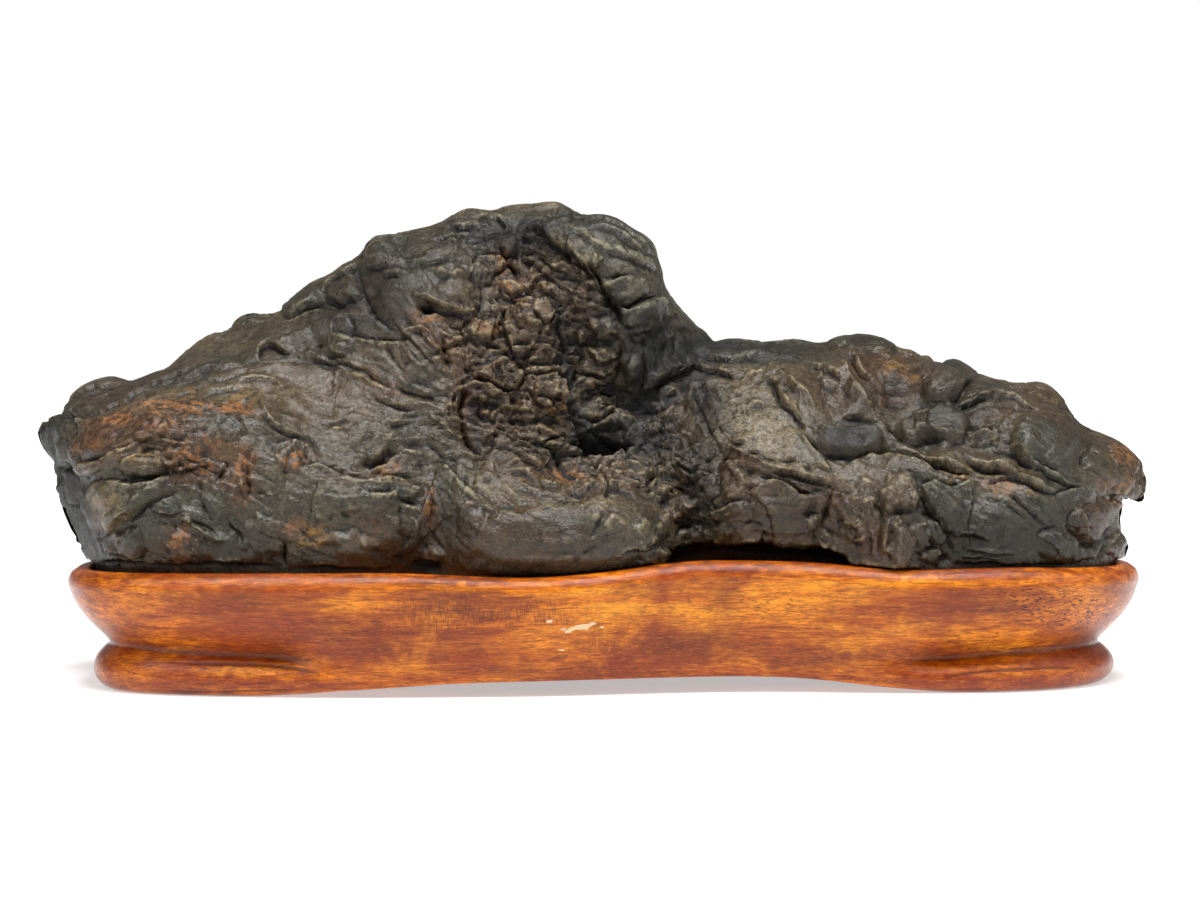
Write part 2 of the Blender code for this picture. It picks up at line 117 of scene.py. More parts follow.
def relief(points, stiff=0.02):
    p = np.array(points, float)
    x = p[:, :2] / 100.0
    n = len(x)

    def bend(r2):
        return 0.5 * r2 * np.log(np.maximum(r2, 1e-12))

    a = np.zeros((n + 3, n + 3))
    a[:n, :n] = bend(((x[:, None] - x[None]) ** 2).sum(-1)) + np.eye(n) * stiff
    a[:n, n] = a[n, :n] = 1
    a[:n, n + 1:] = x
    a[n + 1:, :n] = x.T
    c = np.linalg.solve(a, np.r_[p[:, 2], 0, 0, 0])

    def depth(col, row):
        q = np.stack([np.ravel(col), np.ravel(row)], 1) / 100.0
        out = np.empty(len(q))
        for s in range(0, len(q), 20000):
            r = q[s:s + 20000]
            out[s:s + 20000] = (bend(((r[:, None] - x[None]) ** 2).sum(-1)) @ c[:n]
                                + c[n] + r @ c[n + 1:])
        return out.reshape(np.shape(col))
    return depth


def run_of(points, rounds=2):
    p = np.array(points, float)
    for _ in range(rounds):
        n = np.empty((len(p) * 2 - 2, p.shape[1]))
        n[0::2] = p[:-1] * 0.75 + p[1:] * 0.25
        n[1::2] = p[:-1] * 0.25 + p[1:] * 0.75
        p = np.vstack([p[:1], n, p[-1:]])
    return p


def along(points, count):
    p = np.array(points, float)
    s = np.r_[0, np.cumsum(np.hypot(*np.diff(p, axis=0).T))]
    t = np.linspace(0, s[-1], count)
    return np.stack([np.interp(t, s, p[:, 0]), np.interp(t, s, p[:, 1])], 1)


def near_line(col, row, line):
    """distance to a run of points, which side of it, and how far along it"""
    line = np.asarray(line, float)
    best = np.full(col.shape, 1e9)
    side = np.ones(col.shape)
    part = np.zeros(col.shape)
    seg = np.hypot(*np.diff(line, axis=0).T)
    cum = np.r_[0, np.cumsum(seg)]
    for k in range(len(line) - 1):
        ax, ay = line[k]
        dx, dy = line[k + 1] - line[k]
        t = np.clip(((col - ax) * dx + (row - ay) * dy) / (dx * dx + dy * dy + 1e-9), 0, 1)
        ex, ey = col - ax - t * dx, row - ay - t * dy
        r = np.hypot(ex, ey)
        m = r < best
        best = np.where(m, r, best)
        side = np.where(m, np.where(dx * ey - dy * ex >= 0, 1.0, -1.0), side)
        part = np.where(m, (cum[k] + t * seg[k]) / cum[-1], part)
    return best, side, part


# ------------------------------------------------------------------ stone: masses
SKYLINE = [(39, 432), (42, 424), (50, 420), (60, 416), (66, 405), (72, 396), (84, 387),
           (98, 381), (112, 378), (122, 381), (130, 384), (142, 380), (156, 374), (168, 371),
           (180, 360), (192, 347), (204, 336), (216, 332), (226, 332), (238, 320), (250, 315),
           (264, 316), (276, 315), (284, 306), (292, 300), (303, 291), (314, 283), (330, 277),
           (342, 268), (354, 256), (366, 243), (374, 237), (390, 235), (404, 234), (418, 231),
           (436, 227), (448, 220), (458, 214), (470, 210), (482, 212), (494, 213), (506, 208),
           (520, 206), (534, 206), (546, 204), (558, 204), (566, 209), (578, 214), (592, 216),
           (606, 217), (618, 221), (632, 231), (644, 237), (652, 245), (657, 256), (660, 268),
           (664, 283), (672, 300), (684, 314), (696, 326), (703, 330), (708, 337), (713, 344),
           (722, 342), (734, 338), (756, 340), (780, 340), (804, 341), (828, 342), (838, 338),
           (852, 336), (866, 336), (880, 339), (890, 344), (900, 350), (912, 352), (926, 356),
           (936, 363), (946, 361), (956, 361), (968, 368), (974, 373), (984, 377), (996, 382),
           (1010, 382), (1024, 383), (1040, 384), (1050, 388), (1058, 396), (1068, 408),
           (1076, 418), (1082, 423), (1092, 428), (1104, 433), (1116, 441), (1128, 451),
           (1138, 461), (1144, 470), (1148, 480)]
LEFT_END = [(39, 432), (41, 441), (46, 451), (51, 461), (55, 470), (55, 481), (56, 490),
            (61, 501), (66, 511), (70, 520), (74, 530), (78, 541), (82, 551), (88, 560),
            (92, 574), (98, 606)]
RIGHT_END = [(1148, 480), (1147, 490), (1143, 499), (1136, 501), (1128, 500), (1122, 500),
             (1121, 507), (1120, 516), (1120, 528), (1123, 537), (1127, 547), (1126, 554),
             (1122, 563), (1119, 571), (1110, 606)]
FRONT = [
    (48, 436, -5), (60, 460, -12), (75, 430, -26), (75, 480, -28),
    (80, 520, -26), (95, 560, -26), (100, 430, -36), (100, 470, -40),
    (105, 520, -40), (115, 560, -38), (150, 415, -42), (150, 450, -46),
    (150, 500, -50), (150, 550, -46), (150, 580, -42), (200, 412, -44),
    (200, 450, -47), (200, 500, -48), (200, 550, -48), (200, 580, -46),
    (260, 420, -42), (260, 460, -47), (260, 520, -50), (260, 580, -48),
    (320, 445, -42), (320, 480, -48), (320, 540, -50), (320, 580, -48),
    (380, 465, -42), (380, 500, -49), (380, 540, -48), (380, 580, -44),
    (420, 470, -40), (425, 520, -44), (420, 580, -38), (470, 490, -48),
    (470, 540, -52), (470, 575, -50), (540, 505, -50), (540, 540, -54),
    (540, 578, -52), (600, 505, -50), (600, 545, -54), (610, 570, -50),
    (650, 520, -46), (655, 550, -46), (662, 560, -42), (100, 410, -22),
    (110, 395, -8), (150, 395, -20), (150, 380, 0), (200, 395, -26),
    (200, 370, -8), (200, 345, 8), (240, 400, -32), (250, 370, -14),
    (250, 340, 2), (240, 322, 12), (300, 430, -38), (300, 400, -28),
    (300, 370, -16), (300, 340, -6), (300, 300, 12), (350, 440, -38),
    (350, 400, -28), (350, 370, -20), (400, 450, -38), (400, 420, -32),
    (420, 440, -33), (440, 465, -36), (345, 345, -14), (345, 310, -8),
    (345, 272, 6), (380, 350, -20), (380, 300, -12), (380, 260, -4),
    (385, 240, 6), (430, 380, -28), (430, 340, -24), (430, 300, -18),
    (430, 260, -10), (430, 232, 6), (460, 420, -30), (460, 370, -26),
    (465, 320, -18), (465, 280, -12), (465, 240, -2), (470, 214, 10),
    (500, 440, -26), (500, 400, -24), (500, 350, -18), (500, 310, -10),
    (505, 270, -2), (505, 245, 2), (500, 215, 12), (540, 440, -24),
    (540, 400, -24), (540, 350, -18), (540, 310, -14), (545, 270, -2),
    (550, 240, -2), (550, 210, 12), (570, 400, -22), (565, 430, -20),
    (575, 350, -6), (585, 400, -8), (592, 432, -12), (600, 240, -2), (600, 280, -8),
    (600, 320, -8), (600, 360, -6), (610, 400, -2), (640, 250, 4),
    (640, 290, -8), (640, 330, -10), (640, 370, -8), (640, 400, -6),
    (655, 260, 10), (670, 330, 4), (665, 360, -4), (690, 345, 10),
    (680, 380, 0), (620, 225, 10), (660, 410, -10), (640, 430, -12),
    (680, 420, -14), (700, 390, -4), (705, 360, 10), (620, 460, -16),
    (600, 480, -28), (560, 470, -26), (520, 470, -34), (480, 465, -36),
    (640, 480, -28), (680, 470, -26), (660, 510, -32), (690, 510, -30),
    (700, 530, -28), (730, 345, 14), (740, 360, 4), (760, 345, 10),
    (720, 400, -16), (740, 390, -14), (720, 440, -30), (730, 470, -36),
    (760, 420, -30), (780, 450, -38), (820, 470, -44), (840, 480, -46),
    (720, 500, -42), (740, 530, -44), (780, 500, -48), (780, 535, -46),
    (820, 500, -48), (820, 540, -44), (800, 400, -22), (800, 370, -8),
    (800, 346, 8), (850, 345, 14), (866, 338, 24), (850, 400, -20),
    (850, 440, -34), (870, 470, -44), (870, 500, -50), (880, 540, -52),
    (890, 570, -50), (930, 560, -46), (940, 520, -46), (850, 530, -46),
    (900, 360, 6), (900, 400, -12), (900, 440, -26), (900, 470, -40),
    (950, 365, -4), (950, 400, -18), (950, 430, -26), (950, 470, -40),
    (950, 500, -44), (960, 550, -44), (960, 580, -44), (1000, 385, 10),
    (1000, 400, -6), (1000, 440, -24), (1000, 480, -40), (1000, 530, -46),
    (1000, 575, -44), (1040, 386, 16), (1040, 400, 2), (1040, 440, -22),
    (1040, 480, -36), (1040, 530, -42), (1040, 575, -38), (1080, 430, 2),
    (1080, 450, -14), (1080, 480, -28), (1080, 520, -34), (1080, 565, -30),
    (1110, 440, 6), (1110, 470, -10), (1105, 500, -14), (1105, 540, -16),
    (1110, 565, -14), (1120, 540, -4), (1140, 480, 0), (1130, 460, 4),
    (1135, 495, 2), (300, 640, -46), (600, 640, -50), (900, 640, -48),
    (1080, 640, -28), (130, 640, -38)]
BACK = [
    (50, 436, 8), (70, 450, 16), (70, 520, 18), (95, 570, 20), (100, 400, 14),
    (110, 450, 28), (120, 550, 32), (150, 385, 16), (160, 420, 32),
    (170, 500, 42), (170, 580, 42), (250, 325, 26), (250, 360, 36),
    (250, 420, 42), (250, 500, 46), (250, 580, 45), (350, 270, 20),
    (350, 320, 34), (350, 400, 42), (350, 500, 46), (350, 580, 46),
    (430, 235, 20), (430, 300, 34), (430, 400, 42), (430, 500, 45),
    (430, 580, 45), (500, 215, 26), (500, 280, 34), (500, 350, 38),
    (500, 430, 44), (500, 580, 45), (560, 212, 26), (560, 280, 32),
    (560, 360, 36), (560, 450, 42), (560, 580, 46), (640, 250, 22),
    (640, 300, 32), (640, 400, 40), (640, 500, 46), (640, 580, 46),
    (710, 348, 28), (710, 400, 38), (710, 500, 44), (710, 580, 46),
    (800, 345, 26), (800, 400, 38), (800, 480, 45), (800, 580, 45),
    (870, 342, 34), (870, 380, 40), (870, 480, 45), (870, 580, 44),
    (950, 368, 24), (950, 420, 36), (950, 500, 43), (950, 580, 43),
    (1040, 390, 26), (1040, 430, 32), (1040, 500, 37), (1040, 580, 36),
    (1100, 436, 16), (1100, 480, 22), (1100, 540, 20), (1110, 570, 18),
    (1140, 475, 10), (1125, 540, 8), (130, 640, 34), (400, 640, 46),
    (700, 640, 46), (1000, 640, 40), (1090, 640, 18)]
HOLLOW_EDGE = [(663, 580), (665, 562), (670, 550), (678, 545), (700, 541), (750, 541),
               (800, 543), (830, 547), (846, 556), (854, 566), (858, 580)]
HOLLOW_Y = -16.0

# ------------------------------------------------------------------ stone: folds
# Each entry is (kind, reach in squares, height in mm, points).
#   L  ledge: the surface below the run stands forward (a lit edge)
#   O  overhang: the surface above the run stands forward (a dark edge)
#      runs go left to right; in a run going down, O raises its right side
#   R  ridge    C  crease    V  sharp groove with wide shoulders
#   B  lump     P  pit       points are middle, half sizes, lean in degrees
STROKES = [
    # left tip and the plateau behind it
    ("O", 10, 1.2, [(63, 431), (61, 440), (58, 452), (56, 465), (54, 476)]),
    ("R", 4, 1.2, [(65, 434), (64, 445), (66, 456), (62, 468)]),
    ("P", 4, 3.2, (69, 464, 4, 6, 15)),
    ("C", 2.5, 0.9, [(72, 436), (71, 448), (71, 458)]),
    ("L", 7, 1.0, [(45, 423), (57, 419), (66, 419), (78, 421), (95, 419), (112, 416)]),
    ("C", 2, 0.8, [(58, 420), (70, 424), (82, 424), (96, 421)]),
    ("O", 6, 0.9, [(62, 416), (80, 412), (100, 409), (120, 402), (140, 395), (165, 388),
                   (190, 378), (215, 370), (250, 367)]),
    ("O", 5, 1.0, [(70, 400), (84, 393), (100, 388), (118, 387), (131, 386)]),
    ("P", 3, 1.8, (114, 389, 8, 3, -5)),
    ("O", 5, 0.8, [(120, 389), (140, 382), (160, 378), (176, 374), (192, 364)]),
    ("O", 5, 1.0, [(128, 394), (150, 388), (166, 385), (180, 377), (194, 370), (212, 364)]),
    ("O", 4, 0.7, [(116, 405), (135, 399), (155, 394), (175, 388), (186, 382), (202, 376),
                   (220, 371)]),
    ("O", 4, 0.7, [(118, 411), (140, 404), (160, 399), (180, 394), (196, 391), (214, 385)]),
    ("O", 3, 0.6, [(88, 403), (104, 397), (122, 394), (138, 389)]),
    ("O", 3, 0.6, [(76, 408), (92, 404), (110, 399)]),
    ("O", 3, 0.5, [(66, 413), (84, 409), (98, 405)]),
    ("P", 3, 1.6, (152, 390, 9, 3, 12)),
    ("O", 4, 0.6, [(198, 396), (214, 393), (230, 391), (248, 386)]),
    ("O", 4, 0.6, [(196, 388), (214, 382), (236, 377), (256, 375)]),
    # brow of the left front
    ("R", 5, 1.1, [(98, 421), (116, 417), (124, 411), (140, 408), (160, 405), (172, 402),
                   (186, 404), (198, 406), (206, 405), (216, 408), (224, 409), (231, 404),
                   (239, 403), (245, 409), (252, 413)]),
    ("C", 3, 0.9, [(186, 401), (198, 402), (210, 402), (222, 400)]),
    ("P", 4, 2.4, (248, 406, 8, 5, 20)),
    ("R", 3, 0.8, [(243, 401), (252, 404), (260, 411), (264, 417)]),
    # left front face
    ("L", 9, 1.6, [(80, 463), (97, 464), (108, 458), (118, 451), (130, 446), (139, 441)]),
    ("R", 6, 1.3, [(80, 479), (94, 475), (107, 470), (114, 461), (125, 451), (138, 443)]),
    ("B", 0, 1.3, (92, 469, 16, 8, 10)),
    ("B", 0, 2.0, (142, 464, 23, 13, 6)),
    ("V", 2.5, 1.6, [(120, 468), (123, 474), (132, 477), (146, 478), (160, 477), (165, 473)]),
    ("C", 2, 0.9, [(121, 468), (124, 461), (133, 456), (140, 452)]),
    ("B", 0, 1.8, (171, 456, 9, 11, 0)),
    ("C", 2, 1.0, [(163, 462), (165, 471), (170, 476)]),
    ("B", 0, 1.0, (204, 442, 9, 10, 20)),
    ("B", 0, 0.7, (192, 452, 10, 8, 0)),
    ("C", 3, 0.5, [(150, 420), (164, 424), (176, 430), (190, 432)]),
    ("C", 3, 0.7, [(165, 438), (180, 437), (196, 432), (212, 430)]),
    ("B", 0, 1.4, (152, 428, 22, 10, 20)),
    ("B", 0, 1.2, (232, 428, 14, 11, 0)),
    ("C", 1.6, 0.9, [(218, 462), (226, 463), (224, 471), (219, 478), (216, 486)]),
    ("C", 2.0, 0.8, [(245, 458), (248, 472), (249, 488), (244, 503)]),
    ("R", 5, 0.8, [(240, 455), (241, 475), (243, 492)]),
    ("O", 6, 1.0, [(170, 470), (184, 471), (200, 466), (214, 462)]),
    # lower left lobe
    ("R", 9, 2.4, [(176, 484), (160, 488), (146, 494), (132, 504), (122, 518), (113, 534)]),
    ("B", 0, 2.0, (106, 505, 25, 30, -18)),
    ("V", 3, 2.0, [(181, 490), (172, 494), (160, 498), (147, 506), (138, 513), (132, 523),
                   (130, 530)]),
    ("L", 6, 1.2, [(92, 483), (108, 480), (122, 481), (136, 484), (150, 482), (162, 477),
                   (176, 475)]),
    ("O", 6, 1.3, [(97, 541), (106, 548), (118, 553), (134, 557), (148, 552)]),
    ("B", 0, 1.8, (133, 541, 16, 13, -20)),
    ("C", 2.5, 1.0, [(82, 500), (83, 515), (90, 529), (97, 541)]),
    ("C", 2.5, 0.8, [(56, 470), (64, 466), (74, 472), (80, 480)]),
    ("B", 0, 1.0, (70, 490, 12, 18, -15)),
    ("C", 2.5, 0.9, [(66, 505), (76, 507), (82, 505)]),
    # middle of the left front
    ("B", 0, 1.2, (186, 520, 5, 5, 0)),
    ("R", 4, 1.5, [(183, 517), (190, 520), (198, 527), (210, 534), (223, 539), (236, 543)]),
    ("C", 2.2, 1.3, [(190, 517), (202, 525), (214, 532), (222, 538)]),
    ("C", 2.0, 0.9, [(200, 496), (202, 505), (208, 515)]),
    ("C", 1.8, 1.2, [(228, 520), (234, 527), (239, 535), (242, 543)]),
    ("B", 0, 0.8, (245, 544, 5, 4, 0)),
    ("R", 2.5, 0.7, [(196, 545), (199, 553), (199, 562)]),
    ("P", 4, 1.6, (204, 559, 12, 4, 8)),
    ("O", 8, 1.8, [(96, 562), (130, 560), (165, 563), (200, 561), (240, 561), (282, 566)]),
    ("B", 0, 1.2, (222, 498, 20, 22, 25)),
    ("B", 0, 1.3, (262, 538, 20, 22, 0)),
    ("O", 6, 1.0, [(150, 510), (166, 514), (182, 513)]),
    ("B", 0, 1.0, (180, 548, 14, 16, 0)),
    # slab and its edge
    ("P", 4, 2.2, (268, 390, 13, 5, -28)),
    ("L", 4, 0.9, [(256, 388), (264, 394), (274, 399), (284, 401)]),
    ("P", 2, 1.0, (269, 377, 3, 2, 0)),
    ("O", 4, 0.8, [(236, 386), (250, 381), (262, 380), (274, 384), (285, 390)]),
    ("O", 5, 1.2, [(253, 399), (262, 412), (270, 423), (283, 432), (298, 437), (311, 438)]),
    ("V", 2.2, 1.5, [(300, 437), (311, 438), (315, 446), (319, 455), (322, 462)]),
    ("C", 1.6, 1.0, [(303, 449), (306, 457), (307, 462)]),
    ("L", 5, 1.0, [(272, 443), (286, 439), (297, 441), (303, 448)]),
    ("P", 4, 1.6, (331, 413, 9, 4, -4)),
    ("P", 2, 1.0, (346, 412, 4, 2, 0)),
    ("C", 1.8, 1.1, [(320, 423), (330, 425), (342, 422), (352, 422)]),
    ("P", 2, 1.4, (348, 428, 4, 4, 0)),
    ("P", 2, 1.0, (355, 424, 4, 2, 0)),
    ("B", 0, 0.6, (337, 429, 6, 3, 0)),
    ("O", 4, 1.1, [(374, 399), (388, 404), (400, 408), (414, 408)]),
    ("P", 4, 2.6, (398, 424, 20, 4, 12)),
    ("P", 3, 1.6, (412, 416, 12, 2.5, 4)),
    ("L", 5, 1.4, [(340, 371), (358, 375), (369, 376), (376, 383), (386, 388), (396, 391)]),
    ("V", 3, 2.2, [(392, 388), (406, 392), (420, 396), (434, 399), (438, 405)]),
    ("R", 3, 0.8, [(396, 399), (414, 402), (432, 404), (450, 411)]),
    ("R", 2.6, 1.1, [(424, 409), (432, 416), (441, 424), (452, 433), (462, 441)]),
    ("R", 2.6, 1.0, [(420, 429), (432, 437), (444, 445), (456, 449)]),
    ("R", 2.4, 0.8, [(434, 406), (446, 415), (458, 428)]),
    ("R", 2.6, 1.0, [(443, 402), (452, 408), (459, 417), (463, 428)]),
    ("L", 4, 0.9, [(364, 442), (378, 435), (388, 436), (400, 432), (414, 434)]),
    ("P", 5, 4.5, (378, 458, 18, 6, 24)),
    ("P", 4, 3.0, (392, 450, 9, 6, 20)),
    ("P", 3, 1.8, (379, 471, 7, 4, 10)),
    ("P", 4, 2.2, (416, 446, 12, 5, -8)),
    ("P", 3, 1.8, (420, 464, 9, 4, 8)),
    ("R", 3, 1.0, [(384, 462), (396, 455), (406, 449), (416, 453), (428, 456)]),
    # front edges of the middle left
    ("L", 9, 2.0, [(298, 467), (312, 464), (326, 464), (334, 472), (345, 478), (358, 481),
                   (372, 479), (382, 481), (391, 477), (404, 478), (422, 479)]),
    ("L", 6, 1.2, [(359, 484), (365, 494), (375, 497), (385, 495), (391, 492), (397, 499),
                   (406, 505), (427, 505)]),
    ("B", 0, 1.0, (336, 500, 26, 16, 0)),
    ("B", 0, 1.0, (405, 491, 17, 9, 0)),
    ("C", 3, 0.8, [(340, 508), (346, 516), (352, 518)]),
    ("L", 4, 0.6, [(256, 497), (265, 492), (277, 494)]),
    ("B", 0, 1.0, (290, 458, 15, 14, 0)),
    ("B", 0, 1.2, (268, 470, 18, 24, 0)),
    ("C", 2.0, 1.5, [(279, 538), (285, 549), (284, 562), (290, 573)]),
    ("C", 2.5, 0.7, [(284, 524), (300, 531), (322, 546), (340, 545), (352, 541)]),
    ("B", 0, 1.2, (352, 543, 24, 12, -6)),
    ("O", 8, 1.4, [(286, 568), (320, 564), (350, 567), (385, 568), (408, 565)]),
    ("P", 5, 6.0, (428, 568, 18, 7, -14)),
    ("V", 3, 1.6, [(428, 482), (432, 496), (432, 510), (428, 524), (434, 540), (446, 554)]),
    ("B", 0, 1.4, (432, 554, 12, 8, -18)),
    ("B", 0, 1.2, (398, 535, 26, 20, 0)),
    ("C", 2.5, 0.6, [(392, 528), (402, 535), (416, 538)]),
    # peak: left shoulder
    ("L", 6, 1.4, [(238, 325), (260, 324), (282, 325), (296, 321), (306, 316), (314, 312),
                   (326, 311), (341, 309), (347, 315)]),
    ("O", 7, 2.0, [(289, 319), (302, 313), (315, 306), (327, 301)]),
    ("O", 5, 1.8, [(327, 301), (325, 291), (330, 284), (339, 280), (347, 275), (353, 268),
                   (359, 261)]),
    ("B", 0, 1.5, (303, 303, 20, 8, 32)),
    ("V", 2.5, 1.8, [(325, 302), (336, 304), (347, 304)]),
    ("B", 0, 2.0, (343, 290, 16, 12, 14)),
    ("V", 3, 2.0, [(357, 266), (358, 279), (361, 291), (367, 303), (372, 311), (379, 318),
                   (388, 325), (394, 332)]),
    ("P", 3, 1.8, (369, 309, 4, 4, 0)),
    ("L", 5, 1.2, [(363, 270), (368, 256), (377, 246), (386, 241), (398, 245)]),
    ("R", 2.5, 0.8, [(360, 254), (369, 243), (379, 239), (392, 238), (406, 237), (418, 241)]),
    ("O", 5, 0.9, [(362, 266), (376, 268), (388, 266), (398, 264)]),
    ("B", 0, 1.6, (394, 271, 12, 7, -8)),
    ("C", 1.8, 0.8, [(383, 274), (392, 279), (402, 278), (406, 272)]),
    ("P", 2.5, 1.6, (425, 243, 7, 2.5, 5)),
    ("C", 2.2, 1.0, [(406, 254), (415, 257), (427, 256)]),
    ("O", 5, 0.9, [(408, 265), (422, 261), (436, 263), (447, 258), (454, 250)]),
    ("P", 4, 5.0, (427, 307, 9, 5, -14)),
    ("O", 5, 1.4, [(414, 298), (424, 299), (436, 304), (449, 312), (462, 315)]),
    ("R", 4, 1.4, [(402, 337), (406, 331), (414, 328), (424, 329), (431, 335), (438, 343)]),
    ("B", 0, 1.0, (408, 332, 6, 6, 0)),
    ("V", 4, 3.0, [(445, 336), (444, 346), (447, 357), (453, 368)]),
    ("L", 6, 1.4, [(328, 334), (336, 333), (346, 334), (352, 338), (364, 339), (376, 341),
                   (390, 343), (402, 342), (408, 337)]),
    ("C", 2.5, 1.2, [(347, 314), (351, 322), (351, 332), (349, 338)]),
    ("O", 5, 1.2, [(326, 356), (338, 358), (350, 359)]),
    ("O", 4, 1.4, [(260, 361), (261, 352), (266, 348), (276, 350), (286, 354), (296, 353)]),
    ("C", 2.2, 1.5, [(313, 352), (318, 349), (320, 343)]),
    ("C", 2.2, 0.9, [(231, 351), (240, 360), (248, 369)]),
    ("V", 2.5, 1.2, [(386, 342), (390, 355), (398, 366), (404, 373)]),
    ("L", 5, 0.9, [(230, 372), (250, 369), (272, 366), (300, 364), (322, 366), (340, 371)]),
    ("O", 4, 0.8, [(302, 358), (322, 361), (350, 366), (372, 371)]),
    ("B", 0, 1.0, (340, 345, 18, 10, 0)),
    ("B", 0, 1.0, (285, 338, 26, 12, 0)),
    ("B", 0, 1.2, (402, 295, 26, 30, 10)),
    ("B", 0, 1.0, (384, 254, 16, 10, 0)),
    ("B", 0, 1.0, (420, 350, 20, 14, 0)),
    ("B", 0, 0.9, (420, 372, 18, 10, 0)),
    # top of the peak
    ("O", 5, 1.1, [(476, 223), (485, 219), (496, 220), (504, 226), (512, 232)]),
    ("R", 3, 1.0, [(478, 231), (488, 226), (497, 227), (502, 234)]),
    ("O", 4, 1.0, [(444, 231), (458, 229), (474, 228), (486, 230)]),
    ("C", 2, 1.2, [(452, 232), (464, 231), (476, 230)]),
    ("O", 4, 0.9, [(430, 241), (450, 237), (466, 237), (482, 239)]),
    ("V", 2.2, 1.8, [(462, 242), (474, 243), (488, 240), (498, 236)]),
    ("R", 2.5, 1.0, [(442, 243), (452, 241), (458, 247), (454, 256), (446, 259)]),
    ("C", 2, 0.9, [(460, 246), (469, 252), (479, 259)]),
    ("V", 4, 3.4, [(499, 234), (502, 248), (508, 258), (514, 269), (519, 281)]),
    ("P", 8, 2.2, (526, 258, 20, 18, 0)),
    ("O", 7, 2.4, [(516, 233), (532, 232), (546, 236), (553, 244), (562, 251), (574, 255),
                   (581, 262), (588, 273), (597, 283), (602, 292)]),
    ("L", 5, 2.4, [(516, 231), (540, 230), (560, 231), (575, 231), (585, 236), (592, 243),
                   (603, 246), (616, 250), (630, 255), (645, 259), (658, 262)]),
    ("V", 3, 1.6, [(556, 211), (551, 220), (545, 229)]),
    ("B", 0, 1.3, (564, 216, 9, 9, 0)),
    ("P", 4, 1.6, (592, 236, 12, 5, -28)),
    ("O", 4, 1.4, [(586, 222), (602, 221), (618, 229), (634, 241), (646, 251), (656, 256)]),
    ("O", 4, 1.4, [(590, 229), (606, 229), (620, 238), (634, 248), (648, 256)]),
    ("O", 3, 1.0, [(600, 217), (616, 223), (632, 234), (644, 243)]),
    ("L", 4, 1.3, [(604, 283), (616, 279), (632, 278), (644, 282), (652, 290)]),
    ("O", 4, 1.1, [(598, 252), (612, 258), (628, 263), (646, 267), (660, 270)]),
    ("R", 3, 1.4, [(664, 318), (672, 312), (680, 322), (690, 334)]),
    ("C", 2, 1.4, [(656, 296), (664, 304), (674, 316), (686, 330)]),
    ("C", 1.8, 1.0, [(602, 278), (614, 277), (626, 276), (638, 278), (648, 286), (653, 293),
                     (650, 299)]),
    ("V", 4, 4.5, [(583, 262), (592, 272), (601, 284), (604, 294), (607, 303), (613, 309),
                   (620, 319), (628, 331)]),
    ("P", 4, 3.0, (606, 300, 5, 9, -10)),
    ("L", 5, 3.0, [(617, 305), (623, 309), (631, 308), (637, 303), (646, 300), (656, 300),
                   (663, 306), (669, 315)]),
    ("C", 2, 0.9, [(627, 329), (634, 325), (640, 327), (647, 329)]),
    ("V", 2.5, 1.6, [(627, 333), (634, 343), (642, 347), (651, 340)]),
    ("R", 9, 2.4, [(631, 352), (632, 372), (630, 392)]),
    ("V", 3, 2.2, [(618, 342), (621, 358), (615, 376), (609, 388)]),
    ("V", 3, 2.0, [(643, 350), (645, 366), (643, 384), (638, 398)]),
    ("R", 3, 0.9, [(656, 350), (660, 341), (668, 336), (676, 332)]),
    ("C", 2.5, 1.0, [(664, 338), (666, 350), (662, 362)]),
    ("C", 2.5, 1.0, [(676, 330), (678, 344), (672, 358)]),
    ("C", 2.5, 1.0, [(670, 316), (674, 326), (686, 336)]),
    ("B", 0, 1.2, (646, 320, 20, 14, 0)),
    ("B", 0, 1.0, (622, 290, 22, 12, -8)),
    ("B", 0, 1.0, (655, 300, 10, 6, -30)),
    # rough middle of the peak
    ("L", 6, 2.2, [(509, 305), (522, 299), (536, 297), (552, 297), (561, 300)]),
    ("O", 7, 2.0, [(508, 304), (504, 320), (505, 336), (512, 350), (521, 359)]),
    ("V", 3.5, 4.0, [(562, 301), (560, 320), (563, 340), (570, 354), (581, 363), (580, 374),
                     (577, 386), (572, 402)]),
    ("R", 3.5, 1.6, [(529, 353), (540, 354), (552, 356), (562, 353)]),
    ("V", 2.2, 2.0, [(524, 361), (540, 365), (556, 364), (562, 358)]),
    ("B", 0, 2.2, (570, 367, 8, 7, 0)),
    ("R", 4, 1.2, [(524, 368), (536, 369), (548, 372), (560, 367)]),
    ("R", 5, 2.0, [(562, 376), (562, 396), (566, 418), (571, 438), (580, 456)]),
    ("V", 2.5, 1.6, [(510, 284), (507, 294), (516, 301), (524, 298)]),
    ("C", 2.5, 1.6, [(519, 279), (526, 290), (534, 294), (546, 290), (556, 296)]),
    ("P", 4, 3.2, (572, 325, 7, 7, 0)),
    ("P", 3, 1.8, (576, 310, 5, 5, 0)),
    ("P", 3, 1.6, (590, 300, 4, 4, 0)),
    ("B", 0, 2.0, (603, 328, 14, 12, 10)),
    ("B", 0, 1.6, (603, 354, 15, 7, 0)),
    ("O", 4, 1.0, [(588, 362), (602, 365), (616, 360)]),
    ("O", 4, 1.0, [(588, 371), (602, 375), (615, 370)]),
    ("O", 4, 0.9, [(590, 381), (602, 386), (612, 381)]),
    ("P", 3, 1.4, (615, 338, 6, 4, 0)),
    ("O", 5, 1.2, [(430, 305), (441, 311), (456, 315), (468, 314), (480, 309)]),
    ("C", 2.5, 1.4, [(482, 284), (485, 297), (481, 311), (476, 322)]),
    ("B", 0, 1.2, (457, 290, 18, 14, 0)),
    ("B", 0, 1.2, (455, 271, 17, 8, 0)),
    ("B", 0, 1.4, (478, 270, 10, 9, 0)),
    ("B", 0, 1.5, (489, 328, 9, 9, 0)),
